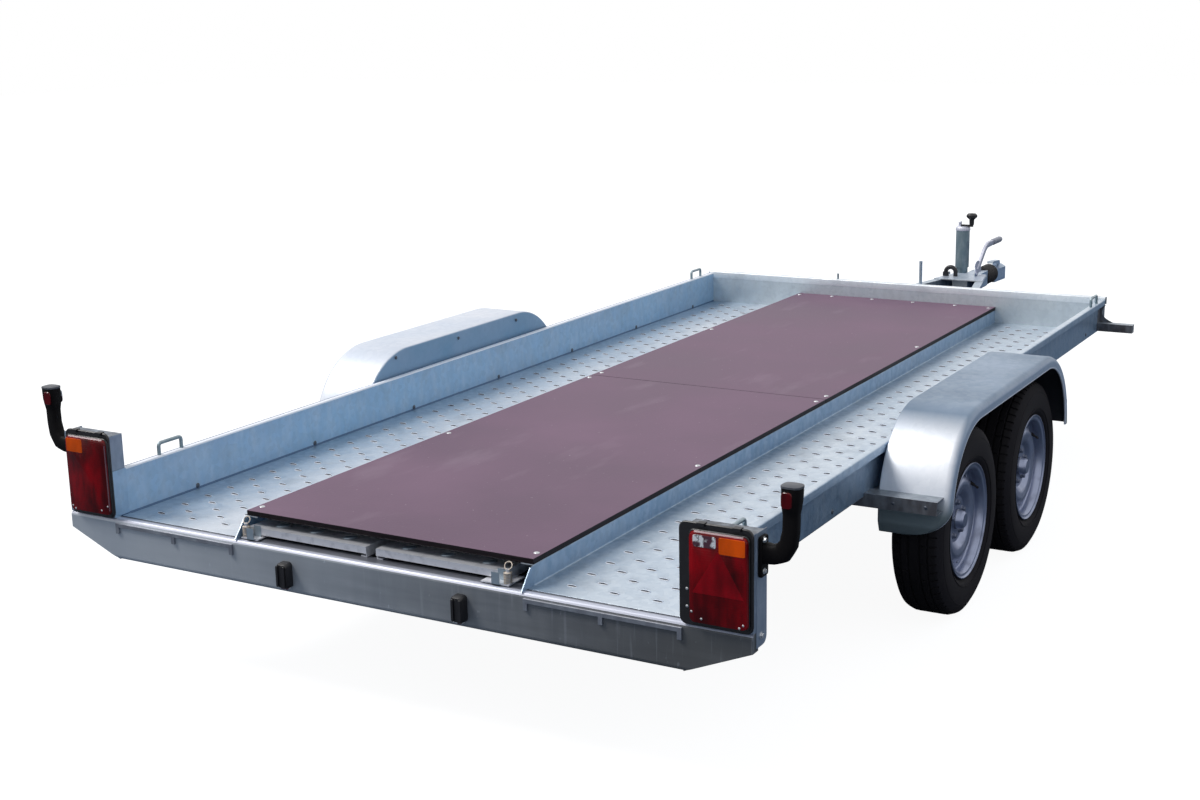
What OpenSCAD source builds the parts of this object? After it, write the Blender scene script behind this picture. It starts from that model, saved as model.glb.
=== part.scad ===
// Open car hauler trailer with two track trays, a raised centre deck and ramps stored under it.
// X runs forward from the middle of the trailer, Y to the left, Z up from the ground.

/* [Bed] */
// Length of the bed from the rear beam to the front wall
bed_l = 4000; // [3600:50:4400]
// Clear width between the side walls
bed_w = 1880; // [1800:10:1960]
// Height of the track floor above the wheel axis
floor_over_axle = 158; // [150:1:180]
// Height of the side and front walls above the track floor
wall_h = 140; // [110:5:180]
// Thickness of the folded sheet
sheet_t = 3; // [2:0.5:4]
// Bend radius of the folded sheet
bend_r = 8; // [6:1:10]
// Width of the lip at the top of a wall
lip_w = 25; // [22:1:30]
// Height of the lip at the top of a wall
lip_h = 25; // [20:1:35]

/* [Deck board] */
// Width of the deck board
board_w = 956; // [900:10:980]
// Height of the deck board's top above the track floor
board_rise = 72; // [70:1:90]
// Thickness of the deck board
board_t = 15; // [12:1:16]
// Length of the rear deck board
board_rear_l = 1940; // [1700:10:2200]
// Gap between the deck boards and at their ends
board_gap = 3; // [2:1:5]
// Width of the shelf that carries the deck board
shelf_w = 38; // [30:1:50]

/* [Rear beam] */
// Length of the rear beam across the trailer
beam_w = 2240; // [2160:10:2300]
// Height of the rear beam
beam_h = 126; // [110:1:140]
// Depth of the rear beam's top flange
beam_top_d = 60; // [50:1:70]
// Depth of the rear beam's bottom flange
beam_low_d = 50; // [40:1:70]
// Height of the straight part of the rear beam's end
beam_end_h = 49; // [40:1:60]
// Length of the slope under the rear beam's end
beam_cut_l = 185; // [150:5:220]
// Depth of the return at the rear beam's end
beam_return_d = 30; // [20:1:40]
// Radius of the rear beam's bright rolled edge
beam_edge_r = 12; // [10:1:16]

/* [Chassis] */
// Height of the cross members
cross_h = 40; // [35:1:45]
// Distance from a cross member's end to the side wall
cross_short = 120; // [80:5:150]
// Width of a cross member's flange
cross_flange = 40; // [30:1:50]
// Height of the drawbar beams
rail_h = 80; // [70:1:90]
// Width of the drawbar beams' flanges
rail_flange = 40; // [30:1:45]
// Thickness of the drawbar beams' metal
rail_t = 4; // [3:0.5:6]
// Distance from the middle to a drawbar beam's web under the bed
rail_y = 560; // [520:5:600]
// Rear end of the drawbar beams from the rear face
rail_rear_x = 1200; // [1000:10:1350]
// Place where the drawbar beams start to close in
rail_bend_x = 2750; // [2600:10:2900]
// Reach of the drawbar beams in front of the bed
rail_nose = 1140; // [1100:10:1200]
// Distance from the middle to a drawbar beam's web at the nose
nose_y = 45; // [43:1:50]
// Rise of the drawbar beams in front of the bed
rail_rise = 63; // [50:1:75]
// Length over which the drawbar beams rise
rail_rise_l = 230; // [180:10:300]

/* [Wheels] */
// Outer radius of a tyre
tyre_r = 302; // [290:1:310]
// Width of a tyre at its widest
tyre_w = 167; // [155:1:175]
// Radius of the rim's bead seat
rim_r = 168; // [165:0.5:170]
// Place of the rear axle from the rear face
axle_rear_x = 1562; // [1530:1:1600]
// Distance between the two axles
wheelbase = 690; // [670:5:730]
// Distance from the middle of the trailer to the middle of a wheel
wheel_y = 1068; // [1064:1:1072]
// Radius of a stub axle
stub_r = 15; // [12:0.5:18]
// Radial clearance of a turning or sliding fit
running_gap = 0.05; // [0.02:0.01:0.09]
// Radius of a brake drum
drum_r = 112; // [100:1:116]

/* [Axles] */
// Width and height of a square axle tube
axle_t = 60; // [50:1:70]
// Bare length between an axle tube's end and its swing arm
pivot_neck = 44; // [30:1:60]
// Distance from the wheel's axis forward to the axle tube
arm_l = 150; // [130:5:170]
// Thickness of a swing arm
arm_t = 36; // [30:1:40]
// Bare length between a swing arm and the brake plate
shoulder_l = 50; // [40:1:60]
// Length of the bar that shares the brake rod's pull
equaliser_l = 520; // [400:10:600]

/* [Mudguards] */
// Inner side of a mudguard from the middle of the trailer
guard_in_y = 968; // [966:1:972]
// Outer side of a mudguard from the middle of the trailer
guard_out_y = 1190; // [1170:5:1195]
// Height of a mudguard's top above the track floor
guard_rise = 232; // [215:1:250]
// Length of a mudguard
guard_l = 1340; // [1300:10:1380]
// Thickness of a mudguard's sheet
guard_t = 2.5; // [2:0.5:3]
// Depth of the rim around a mudguard's outer edge
guard_skirt = 38; // [30:1:45]
// Depth of a mudguard's inner panel
guard_panel = 140; // [120:5:180]
// Height of a mudguard's front end under the track floor
guard_drop = 60; // [50:1:70]
// Further reach of a mudguard's rear end towards the ground
guard_tail = 60; // [0:5:80]
// Height of the mudguards' brackets under the track floor
bracket_drop = 30; // [25:1:40]

/* [Rear lamps] */
// Height of a lamp box above the rear beam
lamp_box_h = 245; // [230:1:260]
// Length of the plate on a lamp box's outer side
lamp_plate_l = 57; // [50:1:70]
// Reach of that plate below the track floor
lamp_plate_drop = 40; // [30:1:46]
// Height of a tail lamp's lens
lamp_h = 216; // [205:1:222]
// Width of a tail lamp's lens
lamp_w = 150; // [135:1:160]
// Depth of a tail lamp with its base plate
lamp_d = 21; // [18:1:36]
// Overall width of the marker lamps on their arms
marker_span = 2432; // [2400:2:2480]
// Distance between the two number plate lamps
plate_lamp_span = 580; // [500:10:680]
// Depth of a number plate lamp
plate_lamp_d = 26; // [20:1:32]

/* [Coupling] */
// Height of the draw tube's axis above the ground
draw_z = 441; // [435:1:445]
// Width of the overrun housing
housing_w = 80; // [76:1:84]
// Length of the overrun housing
housing_l = 350; // [320:10:400]
// Length of the overrun housing in front of the drawbar beams
housing_nose = 170; // [160:5:190]
// Length of the gaiter
gaiter_l = 160; // [140:5:180]
// Radius of the gaiter's folds
gaiter_r = 50; // [45:1:55]
// Radius of the draw tube
draw_r = 25; // [22:1:27]
// Radius of the socket for the tow ball
ball_r = 25.2; // [25.1:0.05:25.4]
// Length of the coupling head
head_l = 190; // [180:5:220]
// Radius of the coupling head's round nose
nose_r = 42; // [38:1:46]

/* [Jockey wheel] */
// Radius of the jockey wheel
jockey_r = 100; // [90:1:105]
// Width of the jockey wheel
jockey_w = 50; // [40:1:60]
// Distance from the middle of the trailer to the jockey tube
jockey_y = 88; // [86:1:95]
// Radius of the outer jockey tube
outer_tube_r = 30; // [29:0.5:32]
// Radius of the inner jockey tube
inner_tube_r = 25; // [22:0.5:26]
// Top of the outer jockey tube above the ground
outer_top_z = 715; // [690:5:740]
// Bottom of the outer jockey tube above the ground
outer_low_z = 330; // [325:5:345]
// Distance by which the jockey wheel trails its swivel
jockey_trail = 40; // [30:1:45]

/* [Ramps] */
// Length of a stored ramp
ramp_l = 2400; // [2200:50:2600]
// Width of a ramp
ramp_w = 414; // [390:1:420]
// Height of a ramp
ramp_h = 48; // [40:1:48]
// Gap between the two stored ramps
ramp_gap = 33; // [25:1:40]
// Distance of that gap from the middle of the trailer, to the left
ramp_shift = 32; // [0:1:33]
// Distance between a ramp's treads
tread_pitch = 100; // [80:5:120]
// Rear end of the stored ramps from the rear face
ramp_x = 46; // [40:1:60]

/* [Hidden] */
$fn = 48;

// Gap at rest between faces of pieces that move past each other
slide_gap = 0.4;
// Overlap that makes a cut run clean through a face
cut = 1;

// Heights above the ground
deck_z = tyre_r + floor_over_axle;
under_z = deck_z - sheet_t;
cross_low_z = under_z - cross_h;
board_top_z = deck_z + board_rise;
board_low_z = board_top_z - board_t;
rail_low_z = cross_low_z - rail_h;
rail_nose_z = cross_low_z + rail_rise;
axle_z = rail_low_z - axle_t / 2;

// Distances from the middle of the trailer
wall_y = bed_w / 2;
wall_out_y = wall_y + sheet_t;
lip_y = wall_y + lip_w;
shelf_out_y = board_w / 2;
beam_y = beam_w / 2;

// Places along the trailer, from the rear face of the rear beam
axle_front_x = axle_rear_x + wheelbase;
nose_x = bed_l + rail_nose;
housing_front_x = nose_x + housing_nose;
housing_rear_x = housing_front_x - housing_l;
head_x = housing_front_x + gaiter_l;
front_x = head_x + head_l;
lamp_box_x = sheet_t;
lamp_box_d = beam_top_d - lamp_box_x - 1;
rear_x = -max(lamp_d - lamp_box_x, plate_lamp_d);
// The frame's origin is below the middle of the overall length
middle_x = (front_x + rear_x) / 2;

STEEL = [0.74, 0.78, 0.82];
DARK = [0.08, 0.08, 0.09];
BOARD = [0.50, 0.42, 0.46];

// Moves a piece from the rear face's frame into the trailer's own frame
module placed() {
    translate([-middle_x, 0, 0]) children();
}

module both_sides() {
    children();
    mirror([0, 1, 0]) children();
}

// A profile in Y and Z that runs forward along X
module along_x(x, length) {
    translate([x, 0, 0]) rotate([90, 0, 90]) linear_extrude(length) children();
}

// A profile in X and Z that runs left along Y
module along_y(y, length) {
    translate([0, y + length, 0]) rotate([90, 0, 0]) linear_extrude(length) children();
}

module rod_x(x, length, r) {
    translate([x, 0, 0]) rotate([0, 90, 0]) cylinder(h = length, r = r);
}

module rod_y(y, length, r) {
    translate([0, y, 0]) rotate([-90, 0, 0]) cylinder(h = length, r = r);
}

// Folded sheet: a path of corners, bent at a radius, with the metal on the path's left
function unit(v) = v / norm(v);
function left_of(v) = [-v[1], v[0]];
function turned(v, a) = [v[0] * cos(a) - v[1] * sin(a), v[0] * sin(a) + v[1] * cos(a)];
function turn_angle(a, b) = atan2(a[0] * b[1] - a[1] * b[0], a * b);

function bend_points(before, corner, after, r, steps) =
    let (d_in = unit(corner - before),
         d_out = unit(after - corner),
         angle = turn_angle(d_in, d_out),
         start = corner - d_in * r * tan(abs(angle) / 2),
         side = angle > 0 ? 1 : -1,
         centre = start + left_of(d_in) * r * side)
    [for (k = [0 : steps]) centre + turned(start - centre, angle * k / steps)];

function bent(path, r, steps = 4) = [
    path[0],
    for (i = [1 : len(path) - 2]) each bend_points(path[i - 1], path[i], path[i + 1], r, steps),
    path[len(path) - 1]
];

function shift_at(path, i, t) =
    let (last = len(path) - 1,
         before = unit(path[max(i, 1)] - path[max(i, 1) - 1]),
         after = unit(path[min(i, last - 1) + 1] - path[min(i, last - 1)]),
         bisector = unit(left_of(before) + left_of(after)))
    bisector * t / (bisector * left_of(before));

function sheet_outline(path, t) = concat(
    path,
    [for (i = [len(path) - 1 : -1 : 0]) path[i] + shift_at(path, i, t)]
);

module sheet(path, t = sheet_t) {
    polygon(sheet_outline(path, t));
}

// A quarter circle of points, and an outline of a rectangle with round corners
function corner_arc(centre, r, start, steps) = [
    for (k = [0 : steps]) centre + r * [cos(start + 90 * k / steps), sin(start + 90 * k / steps)]
];

function rounded_rect(low, high, r, steps = 4) = concat(
    corner_arc([high[0] - r, high[1] - r], r, 0, steps),
    corner_arc([low[0] + r, high[1] - r], r, 90, steps),
    corner_arc([low[0] + r, low[1] + r], r, 180, steps),
    corner_arc([high[0] - r, low[1] + r], r, 270, steps)
);

// A rod bent into a hoop that stands on the XY plane, with its legs along X
module hoop(width, height, r, corner) {
    for (side = [-1, 1]) {
        translate([side * width / 2, 0, 0]) cylinder(h = height - corner, r = r);
        translate([side * (width / 2 - corner), 0, height - corner]) rotate([90, 0, 0])
            rotate([0, 0, side > 0 ? 0 : 90]) rotate_extrude(angle = 90) translate([corner, 0]) circle(r);
    }
    translate([-width / 2 + corner, 0, height]) rod_x(0, width - 2 * corner, r);
}

// Rear beam
module beam_end() {
    path = [
        [beam_y, deck_z - sheet_t],
        [beam_y, deck_z - beam_end_h],
        [beam_y - beam_cut_l, deck_z - beam_h]
    ];
    along_x(sheet_t, beam_return_d - sheet_t) polygon(sheet_outline(path, -sheet_t));
}

module rear_beam() {
    profile = bent([
        [beam_top_d, deck_z], [0, deck_z], [0, deck_z - beam_h], [beam_low_d, deck_z - beam_h]
    ], beam_edge_r);
    placed() color("slategray") {
        difference() {
            along_y(-beam_y, beam_w) sheet(profile);
            both_sides() along_x(-cut, beam_top_d + 2 * cut) polygon([
                [beam_y, deck_z - beam_end_h],
                [beam_y + cut, deck_z - beam_h - cut],
                [beam_y - beam_cut_l, deck_z - beam_h - cut],
                [beam_y - beam_cut_l, deck_z - beam_h]
            ]);
        }
        both_sides() beam_end();
    }
}

// Track trays: outer wall, floor, inner wall and the shelf that carries the deck board
module tray() {
    profile = bent([
        [lip_y, deck_z + wall_h - lip_h],
        [lip_y, deck_z + wall_h],
        [wall_y, deck_z + wall_h],
        [wall_y, deck_z],
        [shelf_out_y, deck_z],
        [shelf_out_y, board_low_z],
        [shelf_out_y - shelf_w, board_low_z]
    ], sheet_t + 1);
    along_x(beam_top_d, bed_l - beam_top_d) sheet(profile);
    translate([0, wall_y, 0]) along_y(0, sheet_t)
        polygon([
            [sheet_t, deck_z], [beam_top_d, deck_z],
            [beam_top_d, deck_z + wall_h], [sheet_t, deck_z + wall_h]
        ]);
    // The inner wall runs on over the rear beam and is cut back to a slope
    slope = board_low_z - deck_z - 12;
    along_y(shelf_out_y - sheet_t, sheet_t)
        polygon([
            [0, deck_z], [beam_top_d, deck_z],
            [beam_top_d, board_low_z - sheet_t - 1], [slope, board_low_z - sheet_t - 1]
        ]);
}

module track_left() {
    placed() color(STEEL) tray();
}

module track_right() {
    placed() color(STEEL) mirror([0, 1, 0]) tray();
}

module front_wall() {
    foot_d = 40;
    profile = bent([
        [bed_l + lip_w, deck_z + wall_h - lip_h],
        [bed_l + lip_w, deck_z + wall_h],
        [bed_l, deck_z + wall_h],
        [bed_l, cross_low_z + sheet_t],
        [bed_l - foot_d, cross_low_z + sheet_t]
    ], bend_r);
    placed() color(STEEL) along_y(-lip_y, 2 * lip_y) sheet(profile);
}

// Deck boards
module board(x, length) {
    translate([x, -board_w / 2, board_low_z]) cube([length, board_w, board_t]);
}

module deck_board_rear() {
    placed() color(BOARD) board(beam_top_d, board_rear_l);
}

module deck_board_front() {
    start = beam_top_d + board_rear_l + board_gap;
    placed() color(BOARD) board(start, bed_l - board_gap - start);
}

// Drawbar beams: C sections with webs inside, closing in to the nose and rising in front of the bed
function rail_plan(y_shift) = [
    [rail_rear_x, rail_y + y_shift],
    [rail_bend_x, rail_y + y_shift],
    [nose_x, nose_y + y_shift]
];

function rail_side(low_z) = [
    [rail_rear_x - cut, low_z],
    [bed_l + sheet_t, low_z],
    [bed_l + sheet_t + rail_rise_l, low_z + rail_rise],
    [nose_x + cut, low_z + rail_rise]
];

module rail_layer(low_z, height, width) {
    intersection() {
        translate([0, 0, rail_low_z - cut]) linear_extrude(rail_h + rail_rise + 2 * cut)
            sheet(rail_plan(0), width);
        along_y(0, rail_y + 2 * rail_flange) polygon(concat(
            rail_side(low_z),
            [for (i = [3 : -1 : 0]) rail_side(low_z + height)[i]]
        ));
    }
}

module rail() {
    rail_layer(rail_low_z, rail_h, rail_t);
    rail_layer(rail_low_z, rail_t, rail_flange);
    rail_layer(cross_low_z - rail_t, rail_t, rail_flange);
}

module drawbar_left() {
    placed() color(STEEL) rail();
}

module drawbar_right() {
    placed() color(STEEL) mirror([0, 1, 0]) rail();
}

// Places of the cross members along the bed
cross_x = [330, 860, 1440, 2040, 2660, 3220, 3760];

module cross_members() {
    placed() color(STEEL) for (x = cross_x) {
        along_y(cross_short - wall_y, 2 * (wall_y - cross_short)) polygon([
            [x - cross_flange, under_z], [x - cross_flange, under_z - sheet_t],
            [x, under_z - sheet_t], [x, cross_low_z], [x + cross_flange, cross_low_z],
            [x + cross_flange, cross_low_z + sheet_t], [x + sheet_t, cross_low_z + sheet_t],
            [x + sheet_t, under_z]
        ]);
    }
}

// Runners under the ramps
runner_w = 30;
runner_y = [60, 410];

module ramp_runners() {
    placed() color(DARK) both_sides() for (y = runner_y)
        translate([beam_top_d, y, under_z])
            cube([bed_l - 2 * beam_top_d, runner_w, sheet_t]);
}

// Ramps: two side channels with a low tip, a folded end plate, treads and a spring latch
ramp_rail_w = 20;
ramp_metal = 3;
ramp_z = deck_z + slide_gap;
tip_h = 30;
tip_l = 74;
tip_rise_l = 50;
tip_face_h = 20;
tread_w = 30;
end_bar = [6, 27];
latch_x = 30;
latch_r = 9;
latch_pin_r = 5;
latch_h = 42;
latch_plate_l = 76;
latch_plate_w = 56;

// The side channel at a distance from the middle, open to the way it faces
module ramp_channel(y, way) {
    difference() {
        along_x(ramp_x + ramp_metal, ramp_l - ramp_metal) polygon(sheet_outline([
            [y + way * ramp_rail_w, ramp_z],
            [y, ramp_z],
            [y, ramp_z + ramp_h],
            [y + way * ramp_rail_w, ramp_z + ramp_h]
        ], -way * ramp_metal));
        along_y(y - ramp_rail_w - cut, 2 * (ramp_rail_w + cut)) polygon([
            [ramp_x, ramp_z + tip_h - ramp_metal],
            [ramp_x + tip_l, ramp_z + tip_h - ramp_metal],
            [ramp_x + tip_l + tip_rise_l, ramp_z + ramp_h + cut],
            [ramp_x, ramp_z + ramp_h + cut]
        ]);
    }
}

module ramp_tread(x, y, width) {
    top_z = ramp_z + ramp_h - ramp_metal - 1;
    along_y(y, width) polygon([
        [x, ramp_z + ramp_metal + 1], [x + ramp_metal, ramp_z + ramp_metal + 1],
        [x + ramp_metal, top_z - ramp_metal], [x + tread_w, top_z - ramp_metal],
        [x + tread_w, top_z], [x, top_z]
    ]);
}

module ramp(in_y, latch_out) {
    out_y = in_y + ramp_w;
    inner_y = in_y + ramp_metal;
    inner_w = ramp_w - 2 * ramp_metal;
    ramp_end_x = ramp_x + ramp_l;
    latch_y = out_y + latch_out;
    ramp_channel(in_y, 1);
    ramp_channel(out_y, -1);
    along_y(in_y, ramp_w) sheet([
        [ramp_x, ramp_z + tip_h - tip_face_h], [ramp_x, ramp_z + tip_h], [ramp_x + tip_l, ramp_z + tip_h]
    ], -ramp_metal);
    for (x = [ramp_x + tip_l + tip_rise_l : tread_pitch : ramp_end_x - tread_pitch / 2])
        ramp_tread(x, inner_y, inner_w);
    translate([ramp_end_x - end_bar[0], inner_y, ramp_z + ramp_metal]) cube([end_bar[0], inner_w, end_bar[1]]);
    // Hook plate with its spring bolt behind the tip
    translate([latch_x - latch_r - 4, out_y - latch_plate_w, ramp_z + ramp_metal])
        cube([latch_plate_l, latch_plate_w + latch_out + latch_r + 1, ramp_metal]);
    translate([latch_x, latch_y, ramp_z + ramp_metal]) {
        cylinder(h = latch_h - 10, r = latch_r);
        cylinder(h = latch_h, r = latch_pin_r);
    }
}

module ramp_left() {
    placed() color("silver") ramp(ramp_shift + ramp_gap / 2, -6);
}

module ramp_right() {
    placed() color("silver") mirror([0, 1, 0]) ramp(ramp_gap / 2 - ramp_shift, 20);
}

// Axles
axle_places = [axle_rear_x, axle_front_x];

module axle_tubes() {
    ear_l = 140;
    ear_t = 6;
    placed() color(STEEL) for (x = axle_places) {
        translate([x + arm_l - axle_t / 2, -axle_l / 2, axle_z - axle_t / 2])
            cube([axle_t, axle_l, axle_t]);
        both_sides() along_y(rail_y - ear_t, ear_t) translate([x + arm_l, 0]) polygon([
            [-axle_t / 2 - 8, axle_z - axle_t / 2 - 8], [axle_t / 2 + 8, axle_z - axle_t / 2 - 8],
            [ear_l / 2, rail_low_z + 20], [ear_l / 2, cross_low_z - 10],
            [-ear_l / 2, cross_low_z - 10], [-ear_l / 2, rail_low_z + 20]
        ]);
    }
}

pivot_r = 36;
knuckle_r = 28;
shoulder_r = 24;
backplate_y = wheel_y - 58;
stub_end_y = wheel_y + 17;
arm_y = backplate_y - shoulder_l - arm_t;
axle_l = 2 * (arm_y - pivot_neck);

module swing_arm() {
    translate([arm_l, 0, axle_z]) rod_y(axle_l / 2, pivot_neck + arm_t, pivot_r);
    translate([0, 0, tyre_r]) {
        rod_y(arm_y, arm_t, knuckle_r);
        rod_y(arm_y + arm_t, shoulder_l, shoulder_r);
        rod_y(backplate_y, stub_end_y - backplate_y, stub_r);
    }
    along_y(arm_y, arm_t) polygon([
        [0, tyre_r - knuckle_r], [arm_l, axle_z - pivot_r],
        [arm_l, axle_z + pivot_r], [0, tyre_r + knuckle_r]
    ]);
}

module swing_arms() {
    placed() color(STEEL) both_sides() for (x = axle_places) translate([x, 0, 0]) swing_arm();
}

backplate_t = 4;

module brake_plates() {
    placed() color(DARK) both_sides() for (x = axle_places) translate([x, 0, tyre_r])
        difference() {
            rod_y(backplate_y, backplate_t, drum_r + 4);
            rod_y(backplate_y - cut, backplate_t + 2 * cut, stub_r + running_gap);
        }
}

// Wheels, drawn about their own axis with +Z pointing away from the trailer
rim_t = 3;
rim_half = 74;
disc_t = 4;
hub_face = 30;
hole_r = 33;
vent_count = 16;
vent_ring_r = 139;
drum_in = -(wheel_y - backplate_y) + backplate_t + 5;

module rim() {
    barrel = [
        [rim_r + 16, -rim_half - 2], [rim_r + 15, -rim_half + 4], [rim_r, -rim_half + 6],
        [rim_r, -46], [rim_r - 16, -36], [rim_r - 16, -10], [rim_r - 5, 6], [rim_r, 44],
        [rim_r, rim_half - 6], [rim_r + 15, rim_half - 4], [rim_r + 16, rim_half + 2]
    ];
    disc = [
        [hole_r, hub_face + disc_t], [74, hub_face + disc_t], [90, hub_face + 18],
        [118, hub_face + 24], [140, hub_face + 12], [rim_r - 1.5, hub_face + 6]
    ];
    rotate_extrude() polygon(sheet_outline(barrel, rim_t));
    difference() {
        rotate_extrude() polygon(sheet_outline(disc, -disc_t));
        for (i = [0 : vent_count - 1]) rotate([0, 0, i * 360 / vent_count])
            translate([vent_ring_r, 0, 0]) linear_extrude(rim_half) {
                square([9, 16], center = true);
                for (end = [-8, 8]) translate([0, end]) circle(4.5);
            }
    }
}

module hub_and_drum() {
    cap_r = 29;
    cap_end = hub_face + 34;
    rotate_extrude() polygon([
        [stub_r + running_gap, drum_in], [drum_r, drum_in], [drum_r, hub_face - 14],
        [drum_r - 14, hub_face], [cap_r + 2, hub_face], [cap_r + 2, hub_face + 8],
        [cap_r, hub_face + 10], [cap_r, cap_end - 8], [cap_r - 7, cap_end], [0, cap_end],
        [0, stub_end_y - wheel_y + 3], [stub_r + running_gap, stub_end_y - wheel_y + 3]
    ]);
}

module wheel_at(x) {
    placed() color("silver") translate([x, wheel_y, tyre_r]) rotate([-90, 0, 0]) {
        rim();
        hub_and_drum();
    }
}

module tyre_at(x) {
    half = tyre_w / 2;
    side = [
        [rim_r + 0.3, rim_half - 10], [rim_r + 6, rim_half - 7], [rim_r + 20, rim_half - 5.5],
        [rim_r + 34, half - 3], [rim_r + 66, half], [tyre_r - 36, half - 3],
        [tyre_r - 12, half - 14], [tyre_r - 3, half - 26], [tyre_r, half - 40]
    ];
    placed() color(DARK) translate([x, wheel_y, tyre_r]) rotate([-90, 0, 0])
        rotate_extrude($fn = 64) polygon(concat(
            side,
            [for (i = [len(side) - 1 : -1 : 0]) [side[i][0], -side[i][1]]]
        ));
}

module wheel_rear_left() { wheel_at(axle_rear_x); }
module wheel_rear_right() { mirror([0, 1, 0]) wheel_at(axle_rear_x); }
module wheel_front_left() { wheel_at(axle_front_x); }
module wheel_front_right() { mirror([0, 1, 0]) wheel_at(axle_front_x); }
module tyre_rear_left() { tyre_at(axle_rear_x); }
module tyre_rear_right() { mirror([0, 1, 0]) tyre_at(axle_rear_x); }
module tyre_front_left() { tyre_at(axle_front_x); }
module tyre_front_right() { mirror([0, 1, 0]) tyre_at(axle_front_x); }

// Mudguards: a skin that arches over both wheels, an outer rim and an inner panel
guard_middle_x = (axle_rear_x + axle_front_x) / 2 - 21;
guard_r = guard_rise + guard_drop;
guard_low_z = deck_z - guard_drop;

// The arch at a depth inside the skin, from the front end over the top to the longer rear end
function guard_line(depth, extra) =
    let (steps = 18, reach = guard_l / 2 - guard_r, r = guard_r - depth,
         rear_x = guard_middle_x - reach - r,
         foot_x = guard_middle_x - guard_l / 2 + guard_panel + 10 + extra,
         foot_z = guard_low_z - guard_tail - extra)
    concat(
        extra > 0 ? [[guard_middle_x + reach + r, guard_low_z - extra]] : [],
        [for (k = [0 : steps])
            [guard_middle_x + reach, guard_low_z] + r * [cos(90 * k / steps), sin(90 * k / steps)]],
        [for (k = [steps : 2 * steps])
            [guard_middle_x - reach, guard_low_z] + r * [cos(90 * k / steps), sin(90 * k / steps)]],
        [[rear_x, foot_z], [foot_x, foot_z], [foot_x, guard_low_z - extra]]
    );

module guard_band(depth, extra = 0) {
    polygon(guard_line(depth, extra));
}

// A strip of the arch, from its top face in to a depth
module guard_strip(y, width, depth) {
    along_y(y, width) difference() {
        guard_band(0);
        guard_band(depth, cut);
    }
}

module guard_skin() {
    guard_strip(guard_in_y + guard_t, guard_out_y - guard_in_y - 2 * guard_t, guard_t);
}

module guard_sides() {
    guard_strip(guard_in_y, guard_t, guard_panel);
    guard_strip(guard_out_y - guard_t, guard_t, guard_skirt);
}

module mudguard_left() {
    placed() color(STEEL) guard_skin();
}

module mudguard_right() {
    placed() color(STEEL) mirror([0, 1, 0]) guard_skin();
}

module mudguard_sides_left() {
    placed() color(STEEL) guard_sides();
}

module mudguard_sides_right() {
    placed() color(STEEL) mirror([0, 1, 0]) guard_sides();
}

// Brackets at the mudguards' ends: C sections, open to the mudguard and cut to its arch
bracket_in_y = wall_y - 240;
bracket_out_y = guard_out_y - 20;
bracket_reach = 50;
bracket_over = 12;
bracket_into = 20;

module guard_bracket(end_x, way) {
    web_x = end_x - way * bracket_reach;
    top_x = end_x - way * 5;
    into_x = end_x + way * bracket_into;
    low = deck_z - bracket_drop;
    top = deck_z + bracket_over;
    along_y(bracket_in_y, wall_out_y - bracket_in_y) polygon(sheet_outline([
        [end_x, low], [web_x, low], [web_x, under_z], [top_x, under_z]
    ], -way * sheet_t));
    along_y(wall_out_y, bracket_out_y - wall_out_y) difference() {
        polygon(sheet_outline([
            [into_x, low], [web_x, low], [web_x, top], [into_x, top]
        ], -way * sheet_t));
        guard_band(0);
    }
}

module mudguard_brackets() {
    placed() color(STEEL) both_sides() {
        guard_bracket(guard_middle_x - guard_l / 2, 1);
        guard_bracket(guard_middle_x + guard_l / 2, -1);
    }
}

// Rear lamps
lamp_box_out_y = beam_y;
lamp_low_z = deck_z + 15;
lamp_base_t = 8;
box_t = 2.5;
lamp_plate_x = 16;
plate_out_y = lamp_box_out_y + box_t;
lens_out_y = lamp_box_out_y - 14;
base_in_y = wall_out_y;
base_out_y = lamp_box_out_y - 12;

module lamp_boxes() {
    placed() color(STEEL) both_sides() difference() {
        translate([lamp_box_x, wall_out_y, deck_z])
            cube([lamp_box_d, lamp_box_out_y - wall_out_y, lamp_box_h]);
        translate([lamp_box_x + box_t, wall_out_y + box_t, deck_z + box_t])
            cube([lamp_box_d, lamp_box_out_y - wall_out_y - 2 * box_t, lamp_box_h - 2 * box_t]);
    }
    // Side plates that reach down over the ends of the rear beam
    plate_end_x = lamp_plate_x + lamp_plate_l;
    plate_low_z = deck_z - lamp_plate_drop;
    placed() color(STEEL) both_sides() along_y(lamp_box_out_y, box_t) polygon(concat(
        [[plate_end_x, deck_z + lamp_box_h], [lamp_plate_x, deck_z + lamp_box_h], [lamp_plate_x, plate_low_z]],
        corner_arc([plate_end_x - 20, plate_low_z + 20], 20, 270, 4)
    ));
}

module tail_lamps() {
    placed() color("darkred") both_sides() {
        along_x(lamp_box_x - lamp_d, lamp_d - lamp_base_t) polygon(rounded_rect(
            [lens_out_y - lamp_w, lamp_low_z], [lens_out_y, lamp_low_z + lamp_h], 9));
        along_x(lamp_box_x - lamp_base_t, lamp_base_t) polygon(rounded_rect(
            [base_in_y, deck_z], [base_out_y, deck_z + lamp_box_h], 14));
    }
}

// Marker lamps on rubber arms
marker_base_z = deck_z + 135;
marker_top_z = deck_z + 366;
marker_x = 26;

function reversed(points) = [for (i = [len(points) - 1 : -1 : 0]) points[i]];

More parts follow.
